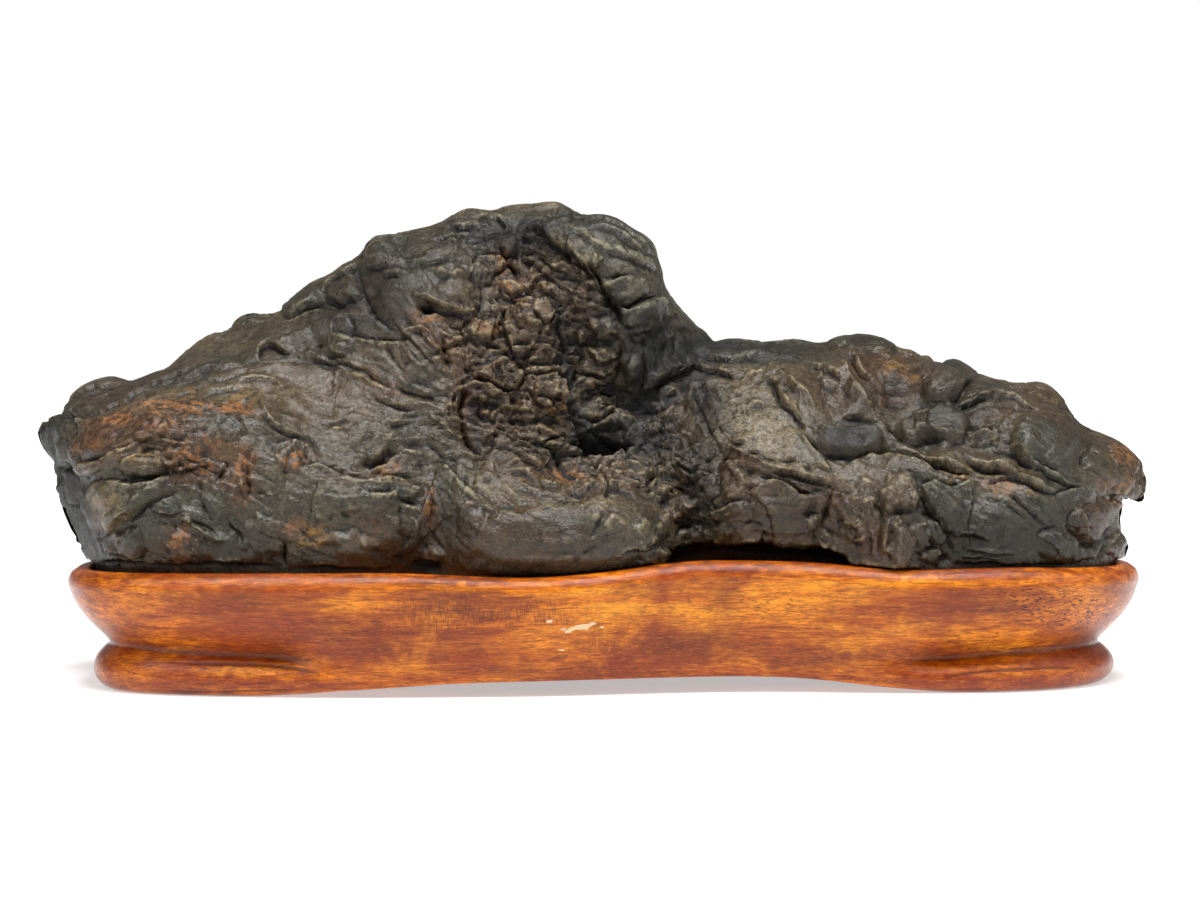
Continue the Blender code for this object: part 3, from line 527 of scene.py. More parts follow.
    ("B", 0, 1.4, (472, 325, 7, 8, 0)),
    ("B", 0, 1.2, (493, 291, 9, 7, 20)),
    ("B", 0, 1.0, (497, 309, 6, 8, 0)),
    ("B", 0, 1.0, (478, 345, 10, 7, 0)),
    ("B", 0, 1.0, (495, 352, 9, 6, 0)),
    ("B", 0, 1.0, (465, 352, 8, 7, 0)),
    ("P", 3, 1.6, (501, 333, 4, 5, 0)),
    ("P", 3, 1.6, (484, 316, 4, 4, 0)),
    ("P", 3, 1.6, (466, 333, 4, 4, 0)),
    ("P", 3, 1.4, (480, 362, 5, 3, 0)),
    ("P", 3, 1.4, (499, 368, 5, 4, 0)),
    ("B", 0, 1.6, (535, 315, 22, 15, 0)),
    ("B", 0, 1.4, (538, 338, 20, 12, 0)),
    ("B", 0, 1.2, (585, 280, 12, 10, 30)),
    ("B", 0, 1.2, (588, 265, 8, 6, 30)),
    ("B", 0, 1.1, (560, 270, 10, 8, 0)),
    ("B", 0, 1.1, (548, 284, 12, 5, 0)),
    ("P", 3, 1.6, (566, 290, 5, 4, 0)),
    ("P", 3, 1.6, (546, 276, 6, 3, 0)),
    ("B", 0, 1.0, (580, 296, 9, 6, 0)),
    # crevice and pillar above the strata
    ("V", 3.5, 4.0, [(466, 374), (464, 390), (464, 406), (463, 420), (464, 435), (470, 446),
                     (478, 453), (487, 456)]),
    ("C", 2.5, 1.2, [(497, 360), (502, 378), (507, 393), (515, 405), (521, 420)]),
    ("C", 2.2, 1.5, [(480, 402), (481, 414), (486, 424)]),
    ("B", 0, 1.6, (492, 388, 11, 9, 0)),
    ("B", 0, 1.6, (503, 413, 11, 9, 0)),
    ("B", 0, 1.3, (488, 430, 10, 8, 0)),
    ("B", 0, 1.2, (484, 372, 9, 8, 0)),
    ("V", 2.5, 1.5, [(519, 378), (527, 391), (536, 401), (546, 411)]),
    ("B", 0, 1.8, (528, 413, 9, 13, 10)),
    ("P", 4, 2.0, (550, 428, 10, 8, 0)),
    ("P", 3, 1.6, (520, 430, 4, 4, 0)),
    ("P", 3, 1.8, (488, 445, 8, 3, 5)),
    ("P", 3, 1.4, (508, 438, 6, 3, -10)),
    ("B", 0, 1.3, (546, 392, 12, 14, 0)),
    ("B", 0, 1.2, (512, 372, 10, 8, 0)),
    ("B", 0, 1.0, (512, 428, 7, 6, 0)),
    ("R", 3, 1.2, [(523, 437), (537, 440), (552, 442), (566, 446)]),
    # cave and the lumps right of it
    ("P", 6, 9.0, (575, 412, 7, 34, 12)),
    ("P", 6, 8.0, (596, 446, 20, 13, 0)),
    ("P", 5, 5.0, (612, 449, 14, 8, 12)),
    ("B", 0, 2.6, (616, 420, 19, 10, 6)),
    ("R", 3, 1.4, [(588, 404), (600, 411), (611, 411), (624, 412)]),
    ("B", 0, 1.6, (600, 400, 12, 7, -14)),
    ("P", 5, 3.0, (646, 410, 14, 6, 10)),
    ("P", 4, 2.0, (634, 404, 6, 5, 0)),
    ("B", 0, 1.6, (596, 385, 11, 9, 0)),
    # strata
    ("O", 4, 1.0, [(494, 452), (506, 448), (522, 446), (541, 448), (554, 455), (563, 466),
                   (567, 478)]),
    ("O", 3, 0.8, [(500, 458), (525, 453), (543, 457), (553, 467), (557, 480)]),
    ("O", 3, 0.8, [(500, 466), (523, 462), (540, 467), (548, 480)]),
    ("O", 3, 0.8, [(500, 474), (519, 471), (532, 478), (538, 488)]),
    ("O", 5, 1.3, [(556, 458), (578, 465), (594, 471), (611, 474), (626, 470), (641, 466),
                   (654, 465)]),
    ("O", 4, 1.1, [(560, 466), (582, 472), (600, 479), (620, 481), (642, 478), (656, 476)]),
    ("O", 4, 1.0, [(562, 474), (584, 479), (602, 486), (622, 489), (640, 486)]),
    ("O", 4, 1.0, [(568, 491), (590, 489), (612, 487), (626, 491), (637, 500)]),
    ("O", 4, 0.9, [(540, 484), (556, 487), (574, 485), (594, 482)]),
    ("O", 3, 0.8, [(512, 484), (528, 489), (548, 494), (570, 498)]),
    ("P", 3, 1.8, (576, 493, 9, 3.5, 0)),
    ("O", 4, 0.8, [(560, 452), (578, 458), (600, 464), (622, 463), (646, 458)]),
    ("R", 2, 0.8, [(527, 441), (545, 444), (558, 449), (566, 452)]),
    ("L", 5, 1.0, [(512, 502), (530, 507), (546, 506), (562, 504), (584, 503), (604, 498),
                   (620, 499)]),
    ("C", 2, 0.8, [(538, 499), (551, 504), (564, 505), (578, 502)]),
    # bright ridges left of the strata
    ("L", 9, 2.2, [(432, 464), (440, 464), (450, 472), (460, 481), (468, 487), (476, 494),
                   (482, 504)]),
    ("L", 6, 1.4, [(474, 461), (487, 461), (491, 470), (498, 478), (506, 485), (514, 491),
                   (520, 495)]),
    ("P", 2.5, 1.6, (463, 475, 5, 3, -20)),
    ("P", 2.5, 1.4, (487, 482, 6, 2.5, -10)),
    ("C", 2, 1.1, [(468, 482), (477, 488), (485, 495), (492, 503), (500, 503)]),
    ("R", 3, 0.7, [(458, 510), (468, 504), (479, 508)]),
    ("B", 0, 1.2, (470, 520, 12, 16, 0)),
    # paw
    ("B", 0, 2.0, (560, 535, 90, 34, 3)),
    ("R", 5, 1.0, [(586, 512), (604, 504), (622, 507), (638, 514), (646, 519)]),
    ("P", 4, 2.4, (600, 524, 17, 4.5, 50)),
    ("P", 2, 0.7, (609, 517, 2, 2, 0)),
    ("V", 2.5, 1.4, [(574, 548), (578, 557), (577, 566), (575, 575)]),
    ("C", 2.2, 0.8, [(578, 553), (588, 548), (600, 542)]),
    ("B", 0, 1.6, (642, 533, 10, 13, 10)),
    ("P", 3, 0.8, (640, 534, 5, 6, 0)),
    ("C", 1.8, 0.8, [(632, 524), (640, 519), (650, 521), (656, 530), (654, 540), (646, 546)]),
    ("B", 0, 1.8, (652, 556, 17, 11, -10)),
    ("O", 5, 1.0, [(614, 556), (630, 548), (646, 548), (660, 542)]),
    ("C", 2.5, 0.6, [(520, 512), (528, 520), (545, 528), (560, 530)]),
    ("C", 2.5, 0.6, [(600, 538), (616, 532), (628, 530)]),
    ("O", 8, 1.8, [(444, 566), (470, 572), (500, 574), (540, 574), (580, 573), (620, 571),
                   (656, 566)]),
    # recess between the paw and the right mass
    ("B", 0, 2.0, (668, 452, 15, 9, 4)),
    ("B", 0, 2.2, (692, 470, 14, 12, 0)),
    ("B", 0, 2.4, (679, 506, 16, 12, -6)),
    ("L", 4, 1.6, [(652, 489), (664, 487), (678, 490), (686, 496)]),
    ("P", 4, 3.0, (702, 506, 6, 12, -10)),
    ("P", 4, 2.4, (686, 524, 8, 6, 0)),
    ("B", 0, 1.6, (694, 531, 12, 8, 0)),
    ("B", 0, 1.4, (668, 526, 12, 9, 0)),
    ("B", 0, 1.4, (718, 532, 14, 10, 0)),
    ("P", 3, 1.8, (662, 466, 8, 3, 0)),
    ("P", 3, 1.8, (672, 480, 6, 4, 0)),
    ("P", 3, 1.8, (700, 490, 6, 4, -20)),
    ("C", 2, 1.0, [(630, 442), (638, 430), (650, 422), (664, 419)]),
    ("C", 2, 1.0, [(638, 448), (646, 436), (658, 429), (672, 428)]),
    ("C", 2, 1.0, [(646, 455), (652, 443), (664, 437), (680, 437)]),
    ("C", 2, 1.0, [(634, 458), (640, 446), (644, 434)]),
    ("P", 4, 2.2, (676, 430, 8, 8, 0)),
    ("P", 4, 2.2, (650, 396, 14, 6, 18)),
    ("P", 4, 2.0, (684, 388, 5, 8, 0)),
    ("O", 5, 1.4, [(640, 392), (656, 386), (670, 378), (684, 372), (698, 365)]),
    ("L", 4, 1.2, [(684, 377), (694, 383), (707, 382), (716, 386), (728, 387)]),
    ("O", 4, 1.2, [(684, 368), (700, 370), (714, 372), (728, 376), (742, 374)]),
    ("O", 5, 1.2, [(700, 358), (716, 362), (732, 362), (748, 358), (764, 352)]),
    ("V", 3, 2.6, [(690, 389), (702, 390), (716, 388), (730, 383), (742, 381), (752, 376)]),
    ("C", 2.5, 1.2, [(660, 408), (672, 402), (684, 402)]),
    ("B", 0, 1.4, (668, 412, 12, 8, 0)),
    ("B", 0, 1.2, (668, 390, 12, 7, 20)),
    # light mass
    ("L", 9, 2.2, [(684, 404), (694, 394), (712, 392), (724, 386), (740, 385), (752, 378),
                   (766, 372), (778, 366), (790, 360)]),
    ("B", 0, 1.6, (695, 403, 11, 10, 25)),
    ("B", 0, 1.0, (712, 404, 9, 7, 0)),
    ("P", 2.5, 1.4, (761, 385, 4, 3, 0)),
    ("P", 2.5, 1.2, (737, 398, 4, 2, 0)),
    ("C", 2, 1.1, [(714, 394), (720, 402), (730, 405)]),
    ("P", 3, 1.8, (757, 407, 9, 3.5, 6)),
    ("P", 2, 1.2, (748, 404, 3, 2, 0)),
    ("P", 2, 1.0, (777, 417, 3, 2, 0)),
    ("C", 1.4, 0.6, [(732, 422), (733, 412), (741, 411), (750, 417), (751, 425)]),
    ("R", 2.2, 1.0, [(699, 423), (705, 429), (704, 437)]),
    ("P", 3, 1.2, (709, 431, 5, 4, 0)),
    ("O", 8, 1.7, [(762, 382), (774, 388), (781, 400), (786, 411), (797, 417), (804, 426),
                   (806, 434)]),
    ("L", 5, 1.6, [(788, 423), (797, 434), (806, 443), (816, 453), (824, 462), (832, 471),
                   (840, 480)]),
    ("R", 5, 2.0, [(774, 370), (782, 382), (792, 392), (803, 402), (812, 410), (821, 417),
                   (832, 421)]),
    ("P", 3, 1.6, (783, 376, 7, 3, -50)),
    ("P", 4, 2.6, (829, 390, 7, 5, -30)),
    ("C", 2.5, 1.2, [(820, 381), (823, 391), (826, 403), (820, 412)]),
    ("O", 5, 1.2, [(808, 364), (820, 370), (832, 378), (842, 390)]),
    ("B", 0, 1.4, (806, 388, 18, 18, -40)),
    ("B", 0, 1.2, (789, 408, 10, 9, -40)),
    ("R", 4, 1.6, [(728, 443), (736, 450), (748, 456), (758, 461), (768, 469), (779, 474)]),
    ("P", 3, 1.8, (738, 444, 6, 3, -8)),
    ("P", 3, 1.8, (753, 454, 9, 2.4, -8)),
    ("V", 2.2, 1.6, [(758, 458), (770, 462), (786, 464), (800, 463)]),
    ("P", 2.5, 1.4, (808, 470, 4, 2.4, -20)),
    ("P", 2.5, 1.4, (786, 480, 7, 2.5, -14)),
    ("P", 2.5, 1.6, (801, 493, 8, 2.4, 0)),
    ("P", 2.5, 1.6, (818, 489, 7, 2.6, -10)),
    ("P", 2.5, 1.2, (829, 486, 5, 3, -10)),
    ("C", 2, 1.1, [(776, 478), (790, 486), (803, 493), (820, 494)]),
    ("O", 5, 1.4, [(762, 468), (780, 474), (800, 476), (822, 482), (836, 484)]),
    # block under it
    ("V", 4, 3.4, [(731, 447), (722, 456), (718, 469), (717, 485), (712, 499), (704, 512)]),
    ("L", 5, 1.2, [(722, 470), (728, 463), (734, 459)]),
    ("P", 3, 1.8, (746, 473, 7, 3, 0)),
    ("P", 3, 1.8, (764, 477, 9, 3, -14)),
    ("L", 7, 2.0, [(748, 492), (753, 487), (765, 484), (775, 480), (790, 487), (801, 494),
                   (818, 495)]),
    ("C", 2.2, 1.0, [(750, 487), (749, 498), (744, 506)]),
    ("B", 0, 1.4, (735, 484, 16, 18, 0)),
    ("R", 2.6, 1.2, [(711, 516), (722, 516), (734, 512), (744, 508)]),
    ("L", 4, 1.0, [(706, 512), (718, 507), (730, 503), (744, 501)]),
    ("C", 1.8, 1.0, [(742, 528), (748, 522), (761, 523), (763, 532)]),
    ("V", 2, 2.2, [(763, 529), (764, 537), (762, 545)]),
    ("B", 0, 0.5, (752, 534, 13, 10, 0)),
    ("V", 5, 3.2, [(578, 366), (574, 384), (571, 402), (571, 420), (576, 434), (588, 443), (604, 444)]),
    ("P", 4, 2.4, (811, 512, 9, 6, 20)),
    ("L", 3, 1.0, [(803, 517), (812, 515), (822, 516)]),
    ("P", 3.5, 3.4, (826, 515, 5, 8, 10)),
    ("C", 2.2, 1.4, [(835, 485), (831, 498), (828, 510), (822, 520), (824, 532)]),
    ("C", 2.2, 1.2, [(818, 524), (812, 534), (818, 544)]),
    ("B", 0, 1.2, (824, 540, 8, 8, 0)),
    ("B", 0, 1.2, (790, 520, 34, 24, 0)),
    # right mass, upper part
    ("L", 5, 2.4, [(832, 345), (846, 352), (858, 354), (874, 354), (892, 353), (900, 351)]),
    ("B", 0, 2.0, (866, 345, 34, 9, -4)),
    ("R", 7, 2.6, [(826, 360), (838, 372), (847, 386), (853, 400), (866, 413), (880, 427),
                   (888, 440), (902, 450), (922, 457)]),
    ("V", 3, 3.6, [(846, 360), (855, 374), (866, 388)]),
    ("R", 3, 1.6, [(830, 362), (841, 376), (850, 390), (858, 402), (868, 412)]),
    ("R", 4, 1.6, [(846, 358), (858, 370), (870, 384), (884, 388)]),
    ("C", 2.4, 1.2, [(840, 384), (846, 396), (852, 408)]),
    ("P", 3, 1.8, (893, 393, 12, 3, 4)),
    ("P", 3, 2.2, (893, 404, 11, 4, 4)),
    ("P", 3, 2.0, (878, 413, 12, 3, -6)),
    ("O", 5, 0.9, [(838, 416), (850, 418), (864, 420), (876, 426)]),
    ("V", 3.5, 2.8, [(884, 422), (891, 430), (898, 438), (908, 444)]),
    ("P", 4, 2.4, (891, 432, 6, 9, -40)),
    ("L", 5, 1.2, [(872, 362), (884, 361), (898, 366), (912, 372)]),
    ("B", 0, 1.0, (890, 378, 18, 8, 0)),
    ("B", 0, 1.0, (925, 368, 12, 9, -30)),
    ("B", 0, 3.0, (947, 381, 27, 15, 42)),
    ("V", 3, 2.2, [(970, 381), (963, 391), (958, 401), (962, 413)]),
    ("C", 2, 0.9, [(944, 371), (934, 382), (926, 392)]),
    ("C", 2, 0.8, [(952, 380), (942, 390), (932, 399)]),
    ("B", 0, 3.4, (942, 424, 26, 20, -6)),
    ("B", 0, 2.0, (911, 430, 14, 13, -20)),
    ("V", 3, 2.6, [(902, 441), (912, 446), (922, 443), (931, 440), (945, 443), (958, 443),
                   (967, 439)]),
    ("C", 2, 1.0, [(929, 412), (926, 424), (930, 436)]),
    ("B", 0, 1.4, (982, 396, 18, 10, -20)),
    ("O", 5, 1.2, [(958, 405), (975, 404), (990, 405), (1006, 406)]),
    ("P", 3, 1.4, (984, 424, 14, 3, -8)),
    ("B", 0, 1.2, (973, 435, 6, 4, 0)),
    ("B", 0, 1.2, (983, 432, 6, 4, 0)),
    ("B", 0, 1.0, (990, 441, 7, 4, -10)),
    ("P", 2.5, 1.4, (982, 443, 7, 2, 4)),
    ("L", 4, 1.0, [(970, 380), (980, 388), (990, 394), (1004, 397), (1020, 399)]),
    # right mass: leaf, arches and foot
    ("L", 6, 1.8, [(812, 434), (826, 429), (840, 427), (856, 430), (870, 437), (884, 447),
                   (892, 453)]),
    ("B", 0, 2.2, (848, 443, 42, 13, -8)),
    ("V", 3, 2.6, [(818, 457), (838, 457), (862, 456), (880, 455), (897, 454), (912, 456)]),
    ("L", 7, 1.8, [(842, 467), (852, 460), (866, 457), (880, 457), (896, 458), (911, 461),
                   (926, 466), (942, 473), (958, 477)]),
    ("L", 5, 1.2, [(878, 471), (890, 464), (905, 462), (919, 467), (932, 474), (946, 480)]),
    ("O", 4, 1.0, [(898, 452), (914, 456), (930, 461), (946, 466), (962, 471)]),
    ("P", 3, 1.4, (929, 449, 4, 4, 0)),
    ("O", 5, 1.2, [(926, 459), (942, 464), (958, 470), (976, 473)]),
    ("L", 7, 2.0, [(916, 489), (928, 484), (940, 484), (953, 488), (961, 485), (969, 481),
                   (977, 482), (984, 488)]),
    ("R", 2.4, 1.0, [(959, 476), (965, 479), (963, 484), (956, 486)]),
    ("O", 5, 1.4, [(966, 456), (974, 464), (986, 469), (1000, 472), (1014, 478)]),
    ("O", 5, 1.4, [(984, 450), (1000, 452), (1012, 457), (1022, 464), (1036, 470)]),
    ("P", 2.5, 1.6, (1002, 465, 9, 2.5, -8)),
    ("O", 4, 1.2, [(984, 480), (996, 481), (1008, 476), (1020, 480), (1032, 488), (1044, 492)]),
    ("R", 3, 1.0, [(1018, 478), (1030, 493), (1041, 508), (1050, 522)]),
    ("O", 4, 0.8, [(1004, 490), (1020, 502), (1034, 514), (1046, 526)]),
    ("O", 4, 0.6, [(996, 498), (1010, 507), (1026, 520)]),
    ("B", 0, 3.0, (898, 494, 19, 16, -8)),
    ("B", 0, 1.6, (912, 503, 8, 7, 0)),
    ("P", 2.5, 1.4, (918, 506, 6, 3, 0)),
    ("R", 3, 1.2, [(858, 486), (866, 493), (872, 499), (874, 508)]),
    ("C", 2.5, 1.4, [(880, 503), (884, 518), (880, 534), (878, 550), (879, 566)]),
    ("C", 2.5, 1.2, [(868, 522), (869, 540), (868, 560)]),
    ("R", 3.5, 1.4, [(890, 516), (886, 530), (884, 548), (886, 564)]),
    ("R", 2.4, 1.2, [(897, 514), (899, 526)]),
    ("B", 0, 2.8, (901, 547, 12, 23, -6)),
    ("B", 0, 1.8, (919, 536, 9, 15, 18)),
    ("V", 2.5, 2.2, [(912, 552), (909, 562), (904, 570)]),
    ("B", 0, 1.6, (934, 531, 10, 14, 24)),
    ("V", 2.5, 2.4, [(921, 546), (929, 548), (936, 545)]),
    ("B", 0, 2.2, (932, 555, 11, 10, 0)),
    ("P", 3, 2.4, (944, 560, 6, 6, 0)),
    ("V", 3.5, 2.8, [(908, 474), (916, 484), (922, 495), (927, 508), (934, 517), (942, 528),
                     (949, 540), (956, 556)]),
    ("P", 3, 2.0, (927, 513, 6, 3, -40)),
    ("B", 0, 1.6, (858, 510, 20, 18, 0)),
    ("B", 0, 1.2, (858, 530, 16, 12, 0)),
    ("O", 4, 0.8, [(836, 520), (852, 522), (868, 518)]),
    # right mass: smooth grey face
    ("O", 5, 1.6, [(955, 540), (961, 534), (970, 532), (980, 536), (988, 541)]),
    ("O", 3, 0.8, [(960, 549), (978, 550), (998, 553), (1014, 553)]),
    ("O", 3, 0.8, [(958, 556), (980, 557), (1000, 559)]),
    ("O", 8, 1.6, [(950, 562), (980, 562), (1010, 563), (1040, 563), (1080, 562), (1100, 558)]),
    ("L", 5, 1.0, [(1036, 540), (1041, 532), (1051, 530), (1064, 533)]),
    ("B", 0, 1.4, (1058, 546, 20, 14, 0)),
    ("C", 3, 0.7, [(985, 498), (1000, 500), (1010, 503)]),
    ("B", 0, 1.0, (1000, 522, 24, 20, 0)),
    ("B", 0, 0.8, (945, 505, 16, 18, 0)),
    # right end: upper folds
    ("L", 5, 1.7, [(976, 387), (984, 390), (992, 395), (1010, 396), (1030, 397), (1044, 402),
                   (1052, 413), (1060, 420), (1076, 423), (1090, 428)]),
    ("C", 2, 1.2, [(1000, 387), (1018, 387), (1034, 389), (1048, 392)]),
    ("C", 2, 1.0, [(1046, 394), (1054, 402), (1060, 412)]),
    ("B", 0, 1.6, (1046, 396, 22, 12, -28)),
    ("O", 5, 1.6, [(958, 405), (975, 404), (990, 403), (1006, 405), (1020, 410), (1036, 417)]),
    ("C", 2, 0.9, [(966, 412), (984, 412), (1002, 413), (1018, 417)]),
    ("B", 0, 3.0, (1030, 428, 58, 25, -18)),
    ("C", 2.2, 1.5, [(1002, 446), (1020, 458), (1036, 464), (1054, 472), (1076, 476)]),
    ("C", 1.8, 0.9, [(990, 418), (1010, 414), (1034, 418), (1056, 432), (1070, 446)]),
    ("C", 1.6, 0.8, [(980, 408), (1000, 406), (1024, 408), (1044, 418)]),
    ("L", 7, 1.3, [(990, 436), (1000, 431), (1012, 423), (1028, 419), (1044, 421), (1060, 427),
                   (1074, 438), (1083, 451), (1083, 464)]),
    ("B", 0, 2.4, (1046, 447, 36, 20, -16)),
    ("C", 2, 0.8, [(1010, 432), (1026, 428), (1042, 431), (1058, 439)]),
    ("O", 7, 1.3, [(1004, 450), (1018, 461), (1032, 466), (1042, 471), (1050, 478), (1064, 482),
                   (1080, 487)]),
    ("O", 6, 1.2, [(962, 444), (984, 444), (1004, 450), (1014, 456), (1024, 464), (1036, 470)]),
    ("O", 6, 1.4, [(968, 458), (982, 468), (998, 471), (1012, 475), (1022, 482), (1034, 490),
                   (1050, 493), (1066, 490)]),
    ("V", 2.5, 1.6, [(966, 425), (978, 429), (990, 434), (1000, 440)]),
    ("P", 3, 1.2, (1014, 450, 9, 2.5, -8)),
    ("L", 5, 1.4, [(1058, 494), (1070, 489), (1084, 486), (1094, 491), (1098, 500)]),
    # beak
    ("V", 3, 3.2, [(1086, 446), (1082, 456), (1085, 464), (1094, 470), (1102, 477), (1107, 487),
                   (1110, 495)]),
    ("R", 3.5, 1.4, [(1078, 466), (1089, 471), (1097, 478), (1103, 485), (1105, 495)]),
    ("B", 0, 1.8, (1112, 462, 26, 22, -35)),
    ("R", 2.2, 0.8, [(1129, 470), (1136, 473), (1141, 481)]),
    ("O", 5, 1.6, [(1109, 494), (1119, 493), (1128, 488), (1136, 484)]),
    ("B", 0, 1.2, (1136, 490, 10, 8, 20)),
    ("C", 2.4, 0.8, [(1066, 420), (1080, 424), (1092, 430), (1104, 436)]),
    # lumps under the beak
    ("L", 5, 1.6, [(1105, 496), (1107, 506), (1113, 516), (1117, 527), (1115, 536), (1108, 544)]),
    ("B", 0, 2.4, (1088, 523, 14, 20, 14)),
    ("V", 2.5, 2.2, [(1074, 508), (1070, 518), (1070, 529), (1078, 540), (1089, 546), (1099, 543),
                     (1104, 536)]),
    ("P", 4, 2.0, (1104, 524, 6, 14, 10)),
    ("B", 0, 1.4, (1116, 545, 9, 14, -10)),
    ("C", 2.5, 1.2, [(1108, 544), (1104, 552), (1094, 561)]),
    ("B", 0, 1.0, (1115, 506, 8, 6, 0)),
]
# how rough the surface is (0 smooth, 1 broken): column, row, amount
ROUGH = [(50, 436, .1), (90, 450, .25), (140, 465, .5), (170, 430, .6), (105, 505, .35), (140, 540, .2),
         (100, 400, .35), (180, 390, .4), (240, 345, .35), (300, 330, .35), (250, 450, .35),
         (230, 530, .3), (300, 400, .12), (350, 390, .12), (340, 420, .5), (290, 425, .2),
         (300, 500, .35), (360, 520, .3), (410, 540, .3), (400, 440, .7), (430, 420, .5),
         (400, 290, .2), (385, 255, .3), (345, 290, .35), (430, 340, .6), (415, 370, .5),
         (455, 250, .6), (455, 290, .35), (480, 330, .95), (490, 380, 1), (520, 255, 1),
         (530, 220, .3), (560, 215, .5), (575, 280, 1), (540, 330, .7), (545, 390, .9),
         (500, 420, .9), (550, 430, 1), (590, 430, .8), (600, 360, .7), (630, 250, .3),
         (630, 285, .3), (645, 320, .25), (632, 370, .2), (670, 350, .5), (670, 400, .8),
         (650, 440, .8), (680, 470, .9), (670, 500, .7), (700, 530, .6), (530, 465, .6),
         (610, 480, .8), (560, 490, .7), (470, 480, .5), (460, 530, .3), (540, 530, .25),
         (620, 530, .3), (640, 555, .2), (730, 360, .5), (700, 405, .3), (740, 410, .8),
         (770, 440, .45), (800, 480, .6), (735, 480, .35), (790, 520, .2), (830, 520, .5),
         (800, 390, .3), (850, 390, .4), (870, 345, .15), (890, 385, .6), (945, 375, .35),
         (940, 425, .15), (850, 445, .15), (880, 470, .4), (900, 495, .6), (870, 540, .5),
         (905, 550, .2), (935, 540, .4), (960, 510, .12), (1010, 520, .15), (980, 435, .7),
         (1000, 400, .3), (1040, 440, .3), (1000, 470, .4), (1040, 510, .2), (1085, 520, .5),
         (1110, 460, .15), (1140, 480, .15), (1060, 550, .25), (1030, 388, .2), (1100, 545, .3)]

# which way the folds run: column, row, degrees below the horizontal
FLOW = [(60, 450, 60), (100, 400, -24), (180, 380, -26), (140, 420, -14), (250, 345, -24),
        (320, 300, -34), (320, 355, 2), (300, 400, 22), (360, 395, 24), (420, 400, 12),
        (430, 440, -8), (390, 480, 4), (330, 480, 6), (110, 470, -22), (110, 520, -60),
        (150, 540, 12), (190, 440, 10), (220, 500, 40), (270, 520, 24), (340, 540, 10),
        (400, 540, 30), (440, 520, 60), (480, 480, 40), (520, 520, 12), (600, 520, 20),
        (640, 550, 10), (560, 560, 0), (530, 460, 12), (600, 476, 14), (640, 470, -8),
        (380, 270, -8), (400, 310, 40), (430, 340, 48), (440, 370, 30), (360, 340, 6),
        (460, 230, -6), (520, 225, 2), (570, 235, 12), (620, 240, 34), (650, 270, 66),
        (620, 290, 20), (650, 320, 30), (632, 370, 92), (680, 330, 50), (660, 350, 70),
        (480, 290, 24), (500, 340, 6), (480, 400, 10), (530, 400, 12), (540, 330, 4),
        (590, 300, 36), (600, 350, 4), (570, 410, 16), (620, 420, -8), (660, 390, -30),
        (660, 440, -40), (680, 480, 20), (700, 520, 30), (720, 370, 4), (760, 370, -24),
        (710, 400, -30), (750, 410, 10), (770, 440, 30), (800, 460, 40), (760, 480, 10),
        (800, 520, 6), (740, 500, -20), (800, 390, 45), (830, 410, 40), (830, 360, 20),
        (870, 345, 2), (860, 400, 42), (900, 400, 8), (900, 440, 36), (950, 380, -46),
        (940, 424, 0), (990, 400, 14), (985, 435, 4), (1020, 390, 2), (1040, 420, 20),
        (1070, 440, 36), (1030, 470, 30), (980, 470, 20), (900, 465, 14), (850, 450, 10),
        (900, 500, 60), (890, 550, 60), (930, 540, 50), (980, 520, 24), (1040, 520, 30),
        (1000, 560, 2), (1090, 480, 50), (1120, 460, 44), (1110, 520, 86), (1080, 530, 70)]

